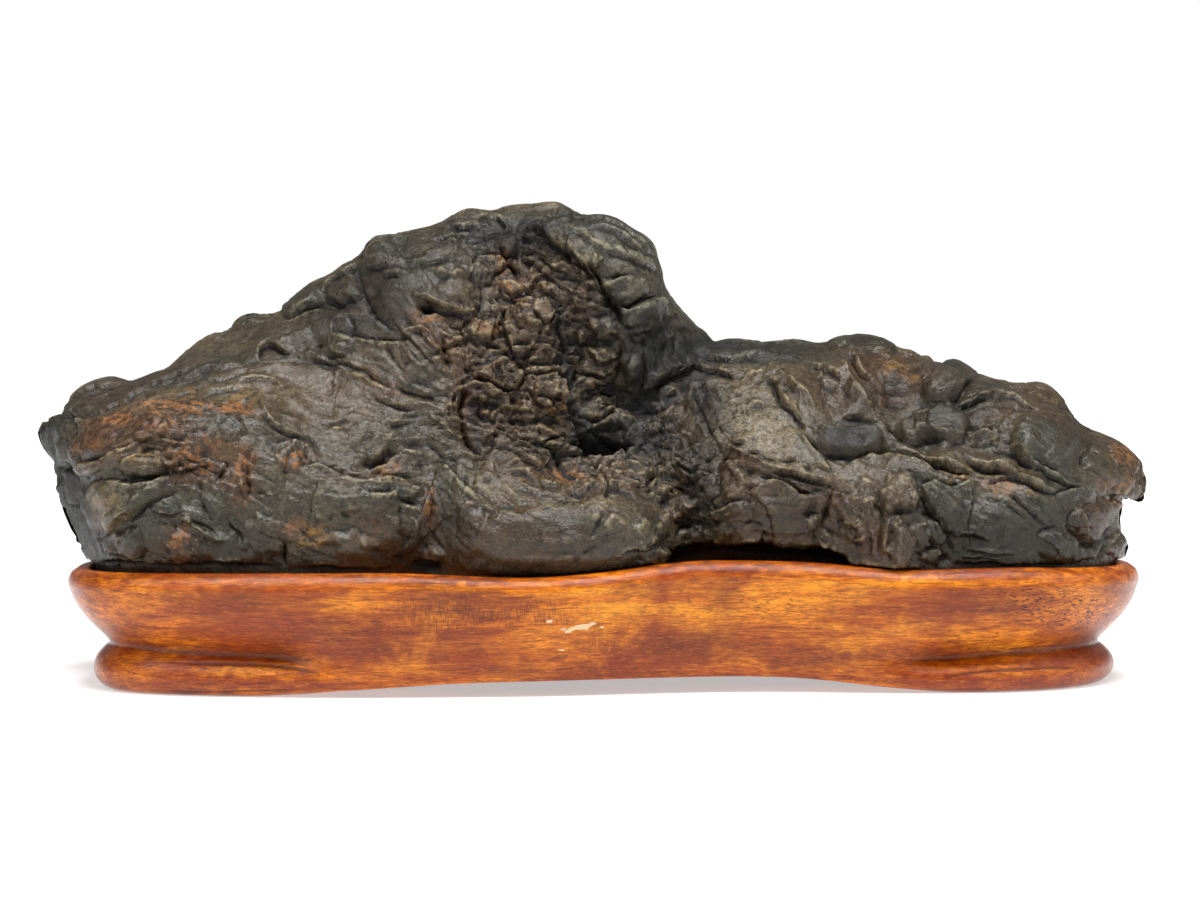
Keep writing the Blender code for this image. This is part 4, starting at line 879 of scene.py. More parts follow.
# ------------------------------------------------------------------ stone: colours
# (what, column, row, half width, half height, lean in degrees, strength)
# dark: partly darker stone, partly painted shade (the cave and the left end face)
PATCHES = [
    ("rust", 190, 408, 44, 4.5, -2, 1.3), ("rust", 118, 418, 26, 4.5, 8, .9),
    ("rust", 155, 428, 15, 11, 20, .3), ("rust", 182, 421, 14, 5, 0, .6),
    ("rust", 238, 409, 12, 5, 0, .8), ("rust", 187, 452, 14, 9, 0, .8),
    ("rust", 199, 466, 16, 7, 10, .8), ("rust", 243, 476, 6, 28, -4, .75),
    ("rust", 181, 540, 9, 20, 0, .7), ("rust", 180, 566, 16, 4, 0, .7),
    ("rust", 293, 458, 9, 10, 0, .85), ("rust", 292, 528, 12, 9, 0, .4),
    ("rust", 431, 505, 5, 20, 0, .5), ("rust", 388, 468, 13, 6, 0, .45),
    ("rust", 381, 383, 16, 4, -30, .5), ("rust", 430, 322, 9, 11, 0, .7),
    ("rust", 485, 329, 13, 8, 0, .5), ("rust", 358, 302, 8, 7, 0, .5),
    ("rust", 568, 476, 20, 6, -10, .7), ("rust", 501, 262, 8, 20, 0, .6),
    ("rust", 516, 289, 8, 7, 0, .7), ("rust", 560, 410, 7, 13, 0, .5),
    ("rust", 1115, 485, 13, 5, 0, .6), ("rust", 1117, 504, 5, 6, 0, .7),
    ("rust", 1124, 458, 9, 9, 0, .5), ("rust", 905, 374, 14, 6, 0, .4),
    ("rust", 1000, 486, 18, 7, -10, .35), ("rust", 952, 476, 18, 5, -20, .35),
    ("rust", 122, 445, 10, 5, 0, .3), ("rust", 90, 447, 14, 8, 0, .25),
    ("rust", 210, 446, 9, 7, 0, .4), ("rust", 160, 515, 10, 7, 0, .22),
    ("rust", 452, 344, 7, 7, 0, .4), ("rust", 565, 372, 6, 6, 0, .3),
    ("ochre", 316, 537, 13, 8, -10, .9), ("ochre", 300, 545, 8, 6, 0, .4),
    ("ochre", 908, 377, 18, 8, 0, .7), ("ochre", 890, 372, 10, 6, 0, .5),
    ("ochre", 565, 400, 9, 16, 0, .35), ("ochre", 175, 398, 26, 6, 14, .45),
    ("ochre", 240, 398, 18, 6, 10, .4), ("ochre", 143, 458, 16, 9, 0, .5),
    ("ochre", 1010, 488, 26, 8, -12, .4), ("ochre", 108, 508, 18, 18, 0, .45),
    ("ochre", 960, 476, 18, 6, -16, .45), ("ochre", 690, 412, 12, 8, 0, .2),
    ("brown", 150, 430, 44, 18, 0, .9), ("brown", 105, 440, 26, 20, 0, .7), ("red", 110, 440, 30, 16, 0, .35), ("red", 170, 470, 20, 10, 0, .35), ("brown", 90, 460, 22, 18, 0, .45),
    ("brown", 205, 465, 44, 22, 10, .85), ("brown", 243, 480, 14, 38, 0, .6),
    ("brown", 185, 545, 26, 22, 0, .55), ("brown", 300, 460, 24, 14, 0, .5),
    ("brown", 385, 470, 30, 14, 0, .6), ("brown", 345, 480, 24, 9, 0, .5),
    ("brown", 380, 527, 28, 18, 0, .45), ("brown", 530, 540, 70, 26, -4, .5),
    ("brown", 470, 400, 16, 46, 0, .9), ("brown", 478, 345, 26, 30, 0, .8),
    ("brown", 530, 330, 34, 34, 0, .75), ("brown", 505, 400, 32, 40, 0, .9),
    ("brown", 545, 395, 26, 30, 0, .8), ("brown", 525, 262, 28, 34, 0, .7),
    ("brown", 575, 290, 26, 30, 0, .7), ("brown", 600, 340, 22, 26, 0, .5),
    ("brown", 560, 474, 50, 16, -6, .7), ("brown", 620, 478, 40, 14, 0, .5),
    ("brown", 430, 322, 20, 22, 0, .7), ("brown", 440, 350, 20, 16, 0, .5),
    ("brown", 392, 388, 30, 10, -20, .5), ("brown", 355, 300, 16, 14, 0, .5),
    ("brown", 692, 472, 22, 18, 0, .7), ("brown", 700, 440, 26, 20, 0, .55),
    ("brown", 680, 505, 20, 16, 0, .5), ("brown", 790, 516, 52, 34, 0, .85),
    ("brown", 735, 480, 20, 22, 0, .5), ("brown", 770, 470, 30, 12, -14, .5),
    ("brown", 885, 372, 38, 22, -10, .8), ("brown", 893, 398, 20, 12, 0, .8),
    ("brown", 966, 382, 9, 12, 0, .7), ("brown", 1035, 402, 24, 8, -10, .6),
    ("brown", 1040, 425, 34, 10, -12, .6), ("brown", 985, 422, 24, 8, 0, .6),
    ("brown", 1088, 523, 16, 20, 0, .8), ("brown", 873, 545, 14, 24, 0, .8),
    ("brown", 898, 495, 18, 16, 0, .5), ("brown", 905, 548, 16, 22, 0, .45),
    ("brown", 840, 400, 18, 24, -40, .4), ("brown", 800, 398, 20, 22, -40, .35),
    ("brown", 1004, 478, 30, 14, -10, .5), ("brown", 1125, 460, 16, 16, 0, .4),
    ("brown", 1110, 495, 12, 14, 0, .5), ("brown", 140, 388, 40, 9, 20, .4),
    ("brown", 330, 395, 70, 20, -10, .3), ("brown", 300, 340, 40, 24, 0, .25),
    ("brown", 400, 300, 26, 34, 0, .2), ("brown", 830, 500, 14, 18, 0, .5),
    ("red", 153, 430, 14, 8, 0, .5), ("red", 431, 505, 6, 22, 0, .6),
    ("red", 471, 400, 6, 34, 0, .8), ("red", 475, 375, 9, 12, 0, .5),
    ("red", 892, 397, 12, 7, 0, .6), ("red", 873, 548, 8, 16, 0, .5),
    ("red", 385, 383, 16, 4, -30, .5), ("red", 208, 474, 30, 8, 8, .4),
    ("red", 243, 470, 8, 26, 0, .4), ("red", 555, 320, 5, 26, 0, .4),
    ("red", 500, 262, 10, 20, 0, .4), ("red", 505, 520, 20, 12, 0, .25),
    ("pale", 784, 440, 34, 24, -40, .75), ("pale", 755, 428, 28, 16, -20, .55),
    ("pale", 722, 425, 26, 20, 0, .55), ("pale", 745, 395, 24, 10, 20, .45),
    ("pale", 300, 396, 54, 18, -14, .15), ("pale", 240, 392, 22, 10, 0, .35),
    ("pale", 896, 490, 15, 9, 0, .65), ("pale", 108, 504, 20, 20, 0, .4),
    ("pale", 790, 520, 40, 26, 0, .25), ("pale", 445, 410, 16, 10, 0, .25),
    ("pale", 150, 400, 60, 8, 20, .3), ("olive", 395, 290, 34, 34, 0, .4), ("pale", 635, 280, 22, 26, 0, .4),
    ("pale", 600, 507, 30, 5, 0, .3), ("pale", 820, 412, 16, 6, -40, .4),
    ("pale", 1010, 506, 30, 12, -26, .3), ("pale", 480, 486, 30, 8, -40, .3),
    ("olive", 143, 464, 19, 10, 0, .7), ("olive", 152, 440, 16, 7, 0, .5),
    ("olive", 230, 455, 18, 14, 0, .3), ("olive", 330, 500, 22, 16, 0, .35),
    ("olive", 940, 424, 26, 16, 0, .3), ("olive", 870, 345, 34, 8, 0, .3),
    ("cool", 60, 440, 24, 24, 0, .8), ("cool", 200, 520, 70, 34, 0, .8),
    ("cool", 150, 490, 50, 24, 0, .5), ("cool", 260, 450, 26, 22, 0, .6),
    ("cool", 340, 500, 54, 34, 0, .6), ("cool", 450, 480, 34, 16, 0, .5),
    ("cool", 1000, 525, 70, 40, 0, 1.0), ("cool", 950, 500, 30, 26, 0, .7),
    ("cool", 850, 442, 42, 15, 0, .15), ("olive", 850, 442, 42, 15, 0, .6), ("cool", 940, 424, 34, 22, 0, .45),
    ("cool", 634, 280, 44, 56, 0, .9), ("dark", 628, 262, 40, 34, 0, .1), ("cool", 632, 370, 20, 36, 0, .6),
    ("cool", 325, 330, 60, 36, 0, .4), ("cool", 400, 260, 40, 30, 0, .3),
    ("cool", 700, 350, 40, 16, 0, .5), ("cool", 870, 345, 40, 12, 0, .6),
    ("cool", 1060, 450, 40, 30, 0, .4), ("cool", 1060, 545, 30, 20, 0, .6),
    ("cool", 480, 225, 60, 16, 0, .4), ("cool", 620, 545, 50, 20, 0, .4),
    ("cool", 560, 226, 70, 14, 10, .5), ("cool", 760, 348, 60, 12, 0, .6),
    ("dark", 395, 285, 44, 40, 0, .6), ("dark", 66, 500, 24, 80, 20, 1.0), ("dark", 335, 312, 50, 24, -20, .4),
    ("dark", 300, 345, 50, 18, -20, .25), ("dark", 110, 398, 60, 12, 20, .4),
    ("dark", 195, 378, 46, 12, 24, .35), ("dark", 550, 226, 76, 14, 6, .5),
    ("dark", 470, 240, 36, 20, 0, .3), ("dark", 650, 372, 22, 46, 0, .5),
    ("dark", 690, 350, 36, 18, 20, .6), ("dark", 760, 350, 60, 9, 0, .55),
    ("dark", 866, 346, 38, 7, 0, .5), ("dark", 705, 402, 20, 34, 20, .7),
    ("dark", 574, 408, 9, 40, 8, 1.2), ("dark", 596, 440, 24, 12, 0, 1.1), ("dark", 640, 405, 14, 6, 0, .6),
    ("dark", 650, 442, 36, 16, -10, .6), ("dark", 700, 476, 18, 34, 0, .55),
    ("dark", 790, 516, 44, 30, 0, .5), ("dark", 1010, 530, 78, 36, 0, .48),
    ("dark", 852, 444, 40, 14, 0, .75), ("dark", 942, 425, 34, 20, 0, .42),
    ("dark", 550, 540, 80, 26, 0, .25), ("dark", 960, 398, 50, 24, -20, .3),
    ("dark", 1066, 430, 46, 34, 30, .3), ("dark", 872, 402, 50, 22, 30, .3),
    ("dark", 535, 245, 34, 16, 0, .5), ("dark", 560, 330, 10, 40, 0, .6),
    ("dark", 476, 420, 7, 26, 0, .6), ("dark", 610, 310, 8, 34, -30, .5),
    ("dark", 232, 540, 50, 20, 0, .25), ("dark", 640, 330, 34, 30, 0, .3)]

# ------------------------------------------------------------------ stand: numbers
SEAT_FLOOR = 30.0
RIM_WIDTH = 7.0
RIM_PLAN = [(-163.5, -18), (-160, -37), (-150, -51), (-130, -60), (-100, -64),
            (-60, -64), (-20, -62.5), (5, -58), (28, -53), (50, -51),
            (75, -52), (100, -54.5), (125, -54), (148, -46), (165, -31),
            (173, -9), (170, 12), (158, 31), (135, 43), (100, 50),
            (60, 52), (20, 50), (-20, 50), (-60, 52), (-100, 51),
            (-135, 43), (-155, 25), (-162.5, 4)]
RIM_FRONT = [(-165, 36.6), (-120, 37.2), (-60, 37.6), (-35, 36.4),
             (-18, 35.7), (0, 36.8), (18, 39.0), (30, 40.4), (60, 40.0),
             (76, 39.0), (88, 37.2), (104, 37.8), (125, 38.4), (175, 36.6)]
RIM_BACK = [(-165, 36.6), (-80, 37.4), (0, 36.2), (80, 37.6), (175, 36.6)]
WALL_FOOT = [(12.3, 0.0), (10.0, 0.028), (8.2, 0.085), (7.6, 0.165),
             (8.6, 0.240), (10.6, 0.300), (12.4, 0.345), (11.3, 0.400),
             (8.4, 0.480), (4.8, 0.590), (2.0, 0.710), (0.4, 0.830),
             (0.0, 0.885), (0.9, 0.955), (3.2, 1.0)]
WALL_SPAN = [(8.4, 0.0), (7.6, 0.010), (7.2, 0.050), (6.8, 0.100),
             (6.3, 0.160), (5.8, 0.220), (5.2, 0.290), (4.5, 0.370),
             (3.5, 0.470), (2.4, 0.590), (1.2, 0.710), (0.3, 0.830),
             (0.0, 0.885), (0.9, 0.955), (3.2, 1.0)]
FOOT_LEFT = (-97.0, -68.0)
FOOT_RIGHT = (76.0, 108.0)
ARCH = [(-100, 0.0), (-85, 1.0), (-76, 2.0), (-60, 3.0), (-46, 4.0), (-28, 4.6), (-5, 4.8),
        (20, 4.9), (45, 5.0), (60, 4.6), (72, 3.6), (85, 2.0), (98, 0.7), (108, 0.0)]


def rounded_loop(points, count):
    p = np.array(points, float)
    for _ in range(5):
        q = np.roll(p, -1, 0)
        n = np.empty((len(p) * 2, 2))
        n[0::2] = p * 0.75 + q * 0.25
        n[1::2] = p * 0.25 + q * 0.75
        p = n
    p = np.vstack([p, p[:1]])
    s = np.r_[0, np.cumsum(np.hypot(*np.diff(p, axis=0).T))]
    t = np.linspace(0, s[-1], count + 1)[:-1]
    return np.stack([np.interp(t, s, p[:, 0]), np.interp(t, s, p[:, 1])], 1)


def plan_normals(loop):
    t = np.roll(loop, -1, 0) - np.roll(loop, 1, 0)
    t /= np.hypot(*t.T)[:, None]
    return np.stack([-t[:, 1], t[:, 0]], 1)


def soft_interp(x, table, blur=6.0):
    """a table read smoothly"""
    t = np.array(table, float)
    out = 0
    for k, w in ((-1.5, .15), (-0.75, .2), (0, .3), (0.75, .2), (1.5, .15)):
        out = out + w * np.interp(x + k * blur, t[:, 0], t[:, 1])
    return out


def rim_height(loop):
    f = soft_interp(loop[:, 0], RIM_FRONT)
    b = soft_interp(loop[:, 0], RIM_BACK)
    w = smooth(-22.0, 8.0, loop[:, 1])
    return f * (1 - w) + b * w


def arch_height(x):
    return np.maximum(soft_interp(x, ARCH, 3.0) - 0.02, 0.0)


def foot_share(x):
    return np.maximum(smooth(-FOOT_LEFT[1], -FOOT_LEFT[0], -x), smooth(FOOT_RIGHT[0], FOOT_RIGHT[1], x))


def shrink(loop, share):
    mid = np.stack([np.clip(loop[:, 0], -118, 128), 0 * loop[:, 1] - 6.0], 1)
    return mid + (loop - mid) * share


def curve_through(table, count):
    """points on a smooth curve through a table (Catmull-Rom)"""
    p = np.array(table, float)
    p = np.vstack([2 * p[0] - p[1], p, 2 * p[-1] - p[-2]])
    t = np.linspace(0, len(table) - 1, count)
    i = np.minimum(t.astype(int), len(table) - 2)
    f = (t - i)[:, None]
    a, b, c, d = p[i], p[i + 1], p[i + 2], p[i + 3]
    return 0.5 * ((2 * b) + (c - a) * f + (2 * a - 5 * b + 4 * c - d) * f ** 2
                  + (3 * b - a - 3 * c + d) * f ** 3)


def ring_faces(n_rings, n_around, flip=False):
    i = np.arange(n_rings - 1)[:, None] * n_around
    j = np.arange(n_around)[None]
    k = (j + 1) % n_around
    q = np.stack([i + j, i + k, i + n_around + k, i + n_around + j], -1).reshape(-1, 4)
    return q[:, ::-1] if flip else q


def make_mesh(name, verts, quads, tris=()):
    mesh = bpy.data.meshes.new(name)
    quads = np.asarray(quads, np.int32)
    tris = np.asarray(tris, np.int32).reshape(-1, 3)
    mesh.vertices.add(len(verts))
    mesh.vertices.foreach_set("co", np.asarray(verts, np.float32).ravel())
    loops = np.r_[quads.ravel(), tris.ravel()]
    mesh.loops.add(len(loops))
    mesh.loops.foreach_set("vertex_index", loops)
    mesh.polygons.add(len(quads) + len(tris))
    starts = np.r_[np.arange(len(quads)) * 4, len(quads) * 4 + np.arange(len(tris)) * 3]
    mesh.polygons.foreach_set("loop_start", starts.astype(np.int32))
    mesh.polygons.foreach_set("use_smooth", np.ones(len(starts), bool))
    mesh.update(calc_edges=True)
    mesh.validate()
    obj = bpy.data.objects.new(name, mesh)
    bpy.context.scene.collection.objects.link(obj)
    return obj


def paint(obj, name, values):
    a = obj.data.attributes.new(name, "FLOAT", "POINT")
    a.data.foreach_set("value", np.asarray(values, np.float32).ravel())


# ------------------------------------------------------------------ stand
STAND_PATCHES = [
    ("gold_and_sheen", 596, 608, 56, 20, 0, .8), ("gold_and_sheen", 560, 640, 44, 12, 0, .5),
    ("gold_and_sheen", 790, 598, 100, 16, 4, .7), ("gold_and_sheen", 880, 634, 70, 15, 0, .75),
    ("gold_and_sheen", 330, 602, 60, 9, 0, .5), ("gold_and_sheen", 150, 598, 36, 10, 0, .45),
    ("gold_and_sheen", 1080, 602, 30, 14, 0, .5), ("gold_and_sheen", 700, 612, 30, 26, 0, .45),
    ("gold_and_sheen", 430, 668, 60, 7, 0, .4), ("gold_and_sheen", 1000, 640, 40, 10, 0, .5),
    # the thin bands under the rim (rows 580 to 590) and on the beads (row 672) are painted highlight; the other gold
    # patches are lighter wood
    ("gold_and_sheen", 250, 580, 150, 5, 0, .5), ("gold_and_sheen", 520, 590, 120, 5, 0, .4),
    ("gold_and_sheen", 900, 582, 190, 5, 0, .5), ("gold_and_sheen", 240, 672, 70, 4, 0, .5),
    ("gold_and_sheen", 1010, 672, 70, 4, 0, .4),
    ("umber", 232, 604, 50, 14, 0, .4), ("umber", 128, 632, 30, 10, 0, .4),
    ("umber", 460, 602, 46, 14, 0, .5), ("umber", 690, 646, 60, 14, 0, .6),
    ("umber", 966, 608, 50, 11, 0, .55), ("umber", 1092, 640, 22, 9, 0, .6),
    ("umber", 400, 650, 70, 10, 0, .5), ("umber", 724, 596, 14, 22, 0, .5),
    ("umber", 330, 632, 60, 9, 0, .45), ("umber", 820, 660, 60, 10, 0, .5),
    ("umber", 560, 672, 100, 8, 0, .45), ("umber", 1120, 590, 20, 12, 0, .4),
    ("umber", 84, 586, 16, 16, 0, .5), ("umber", 640, 590, 26, 8, 0, .4),
    ("wine", 250, 684, 110, 7, 0, .8), ("wine", 1020, 684, 80, 6, 0, .6),
    ("wine", 96, 640, 20, 14, 0, .6), ("wine", 300, 660, 50, 9, 0, .5),
    ("wine", 420, 632, 40, 8, 0, .3), ("wine", 640, 664, 50, 7, 0, .35),
    ("umber", 220, 577, 170, 4, 0, .8), ("umber", 470, 580, 90, 4, 0, .7),
    ("umber", 720, 568, 140, 4, 0, .7), ("umber", 1000, 572, 120, 4, 0, .6),
    ("chip", 580, 627, 9, 2.4, 8, .85), ("chip", 594, 623, 7, 2.0, 14, .85),
    ("chip", 566, 630, 7, 1.8, 0, .8), ("chip", 602, 627, 3, 1.6, 0, .7),
    ("chip", 549, 621, 4, 1.8, 0, .8), ("chip", 566, 650, 6, 1.2, 0, .7),
    ("chip", 588, 632, 3, 1.4, 0, .6),
    ("rasp", 480, 616, 80, 20, 0, 1.0), ("rasp", 590, 644, 40, 10, 0, .5),
    ("pore", 1066, 610, 60, 17, -8, 1.0), ("pore", 960, 644, 40, 10, 0, .4),
    ("pore", 760, 610, 60, 18, 0, .35), ("pore", 320, 640, 60, 14, 0, .3)]
# drawn grooves: depth in mm, reach in squares, points
STAND_LINES = [
    (0.45, 1.6, [(176, 664), (210, 664), (250, 665), (285, 667), (310, 671), (330, 679)]),
    (0.30, 1.4, [(150, 690), (200, 692), (260, 691), (310, 688)]),
    (0.40, 1.5, [(1092, 668), (1050, 668), (1000, 670), (960, 674), (930, 681)]),
    (0.22, 1.0, [(690, 583), (691, 592), (689, 602), (691, 612), (690, 622)]),
    (0.15, 1.0, [(118, 640), (160, 645), (210, 646), (250, 644)]),
    (0.12, 1.0, [(1000, 650), (1040, 646), (1080, 645)])]


def bead_height(x):
    """height of the groove over a foot's bead, a share of the wall"""
    left = np.interp(-x, [60, 68, 73, 78, 86, 100, 130, 143], [0.05, 0.09, 0.15, 0.21, 0.28, 0.32, 0.35, 0.37])
    right = np.interp(x, [70, 78, 84, 90, 99, 120, 150], [0.04, 0.08, 0.13, 0.20, 0.25, 0.29, 0.33])
    return np.where(x < 0, left, right)


def build_stand():
    steps = 800
    loop = rounded_loop(RIM_PLAN, steps)
    zr = rim_height(loop)
    inward = plan_normals(loop)
    foot = foot_share(loop[:, 0])
    base = arch_height(loop[:, 0])
    # carving is never quite even
    wave = np.stack([loop[:, 0] / 26.0, loop[:, 1] / 26.0, 0 * zr], 1)
    zr = zr + 0.12 * noise(wave, 71)
    wall_f = curve_through(WALL_FOOT, 60)
    wall_s = curve_through(WALL_SPAN, 60)
    rings = []
    first = wall_f[0, 0] * foot + wall_s[0, 0] * (1 - foot)
    edge = loop + inward * first[:, None]
    for share in (0.30, 0.50, 0.70, 0.86, 0.96):
        ring = shrink(edge, share)
        rings.append(np.column_stack([ring, arch_height(ring[:, 0])]))
    bead = bead_height(loop[:, 0])
    for (df, hf), (ds, hs) in zip(wall_f, wall_s):
        d = df * foot + ds * (1 - foot)
        hf = np.where(hf < 0.345, hf * bead / 0.345, bead + (hf - 0.345) * (1 - bead) / 0.655)
        z = base + (zr - base) * (np.maximum(hf, 0) * foot + max(hs, 0) * (1 - foot))
        lump = noise(np.column_stack([loop / 17.0, z / 9.0]), 73)
        fade = smooth(0.0, 0.06, hs) * (1 - smooth(0.85, 1.0, hs))
        rings.append(np.column_stack([loop + inward * (d + 0.16 * lump * fade)[:, None], z]))
    for d, dz in ((4.3, 0.1), (5.1, 0.08), (5.8, 0.0), (6.4, -0.2), (6.8, -0.5), (7.0, -1.1)):
        rings.append(np.column_stack([loop + inward * d, zr + dz]))
    inner = loop + inward * RIM_WIDTH
    for k in (0.35, 0.7, 1.0):
        rings.append(np.column_stack([inner, (zr - 1.1) * (1 - k) + SEAT_FLOOR * k]))
    for share in (0.9, 0.72, 0.5, 0.30):
        rings.append(np.column_stack([shrink(inner, share), 0 * zr + SEAT_FLOOR]))
    p = np.vstack(rings)
    grid = p.reshape(len(rings), steps, 3).transpose(1, 0, 2)
    out = np.concatenate([-inward, 0 * inward[:, :1]], 1)
    out = np.repeat(out[:, None], len(rings), 1)
    col, row = to_sheet(grid)
    seen = ((out[..., 1] < 0.1) & (grid[..., 2] > 0.5)).astype(float)
    cut = np.zeros(col.shape)
    for depth, reach, pts in STAND_LINES:
        dist, _, part = near_line(col, row, run_of(pts, 2))
        cut = np.maximum(cut, depth * np.exp(-(dist / reach) ** 2) * np.clip(np.minimum(part, 1 - part) * 6, 0, 1))
    cut = cut * seen
    masks = {kind: patch_mask(kind, col, row, seen, STAND_PATCHES, 0.35 if kind == "chip" else 1.0)
             for kind in ("gold_and_sheen", "umber", "wine", "chip", "rasp", "pore")}
    lost = 0.25 * smooth(0.3, 0.9, masks["chip"])
    grid = grid - out * (cut + lost)[..., None]
    # how hollow the wood surface is, which the material paints as shade
    groove_shade = ((blur(grid, 2) - grid) * out).sum(-1)
    p = grid.transpose(1, 0, 2).reshape(-1, 3).copy()
    p[:, :2] += SHIFT[:2]
    quads = [ring_faces(len(rings), steps)]
    half = steps // 2
    j = np.arange(half - 1)
    cap = np.stack([j, j + 1, steps - 2 - j, steps - 1 - j], -1)
    quads.append(cap[:, ::-1])
    quads.append(cap + (len(rings) - 1) * steps)
    obj = make_mesh("stand_visual", p * MM, np.vstack(quads))
    for kind in masks:
        paint(obj, "w_" + kind, masks[kind].T.ravel())
    paint(obj, "w_line", (cut / 0.4).T.ravel())
    paint(obj, "w_groove_shade", (groove_shade * seen).T.ravel())
    return obj


# ------------------------------------------------------------------ stone
def stone_sheet(nu, nv_fine):
    u = np.linspace(0, 1, nu)
    top_col = 39 + (1148 - 39) * u
    sky = run_of(SKYLINE, 1)
    top = np.stack([top_col, np.interp(top_col, sky[:, 0], sky[:, 1])], 1)
    bottom = np.stack([98 + (1110 - 98) * u, 0 * u + 606.0], 1)
    left, right = along(run_of(LEFT_END, 1), nv_fine), along(run_of(RIGHT_END, 1), nv_fine)
    v = np.linspace(0, 1, nv_fine)
    sheet = top[:, None] * (1 - v)[None, :, None] + bottom[:, None] * v[None, :, None]
    for end, k in ((left, 0), (right, -1)):
        straight = sheet[k].copy()
        near = np.clip(1 - np.abs(u - u[k]) / 0.14, 0, 1) ** 2
        sheet = sheet + near[:, None, None] * (end - straight)[None]
    return sheet[..., 0], sheet[..., 1], top


NU, NF, NB = 1180, 236, 44
MOST = 198000                   # triangles the finished stone may have


def build_stone():
    col, row, top = stone_sheet(NU, 300)
    yf, yb = relief(FRONT)(col, row), relief(BACK)(col, row)
    yf = np.minimum(yf, yb - 5.0)
    hc, hr = np.array(HOLLOW_EDGE, float).T
    under = np.interp(col, hc, hr, left=900, right=900)
    inside = smooth(0, 5, row - under)
    yf = yf + (HOLLOW_Y - yf) * inside
    d = np.minimum(near_line(col, row, top[::4])[0],
                   np.minimum(near_line(col, row, LEFT_END)[0], near_line(col, row, RIGHT_END)[0]))
    thick = yb - yf
    reach = np.clip(0.30 * thick, 3.0, 8.0) / 0.3
    t = np.clip(d / reach, 0, 1)
    pull = 1 - np.sqrt(np.maximum(0, 1 - (1 - t) ** 2))
    mid = 0.5 * (yf + yb)
    half = np.maximum(0.5 * thick * (1 - pull), 0.35)
    yf, yb = mid - half, mid + half

    def even(points, cols, rows, count, shown):
        step = np.sqrt((np.diff(points, axis=1) ** 2).sum(-1))
        seen = np.hypot(np.diff(cols, axis=1), np.diff(rows, axis=1)) * 0.3
        w = step * (1 - shown) + seen * shown * 1.2
        pad = np.pad(w, ((6, 6), (0, 0)), mode="edge")
        w = sum(pad[k:k + len(w)] for k in range(13)) / 13
        out = np.empty((len(points), count, 5))
        for i in range(len(points)):
            s = np.r_[0, np.cumsum(w[i])]
            q = np.linspace(0, s[-1], count)
            for k in range(3):
                out[i, :, k] = np.interp(q, s, points[i, :, k])
            out[i, :, 3] = np.interp(q, s, cols[i])
            out[i, :, 4] = np.interp(q, s, rows[i])
        return out

    f = even(to_space(col, row, yf), col, row, NF, 0.55)
    b = even(to_space(col, row, yb), col, row, NB, 0.1)
    # along a section: front top to front bottom, then back bottom to back top
    return np.concatenate([f, b[:, ::-1]], 1)[..., :3].copy()


def section_normals(p):
    du = np.gradient(p, axis=0)
    dv = (np.roll(p, -1, 1) - np.roll(p, 1, 1))
    n = np.cross(dv, du)
    n = n / np.maximum(np.sqrt((n ** 2).sum(-1, keepdims=True)), 1e-9)
    return -n if n[p.shape[0] // 2, NF // 2, 1] > 0 else n


def blur(a, k):
    """box blur over the grid, wrapping round the sections"""
    if k <= 0:
        return a
    out = a
    for _ in range(2):
        pad = np.concatenate([np.repeat(out[:1], k, 0), out, np.repeat(out[-1:], k, 0)], 0)
        c = np.cumsum(np.concatenate([np.zeros_like(pad[:1]), pad], 0), 0)
        out = (c[2 * k + 1:] - c[:-(2 * k + 1)]) / (2 * k + 1)
        pad = np.concatenate([out[:, -k:], out, out[:, :k]], 1)
        c = np.cumsum(np.concatenate([np.zeros_like(pad[:, :1]), pad], 1), 1)
        out = (c[:, 2 * k + 1:] - c[:, :-(2 * k + 1)]) / (2 * k + 1)
    return out


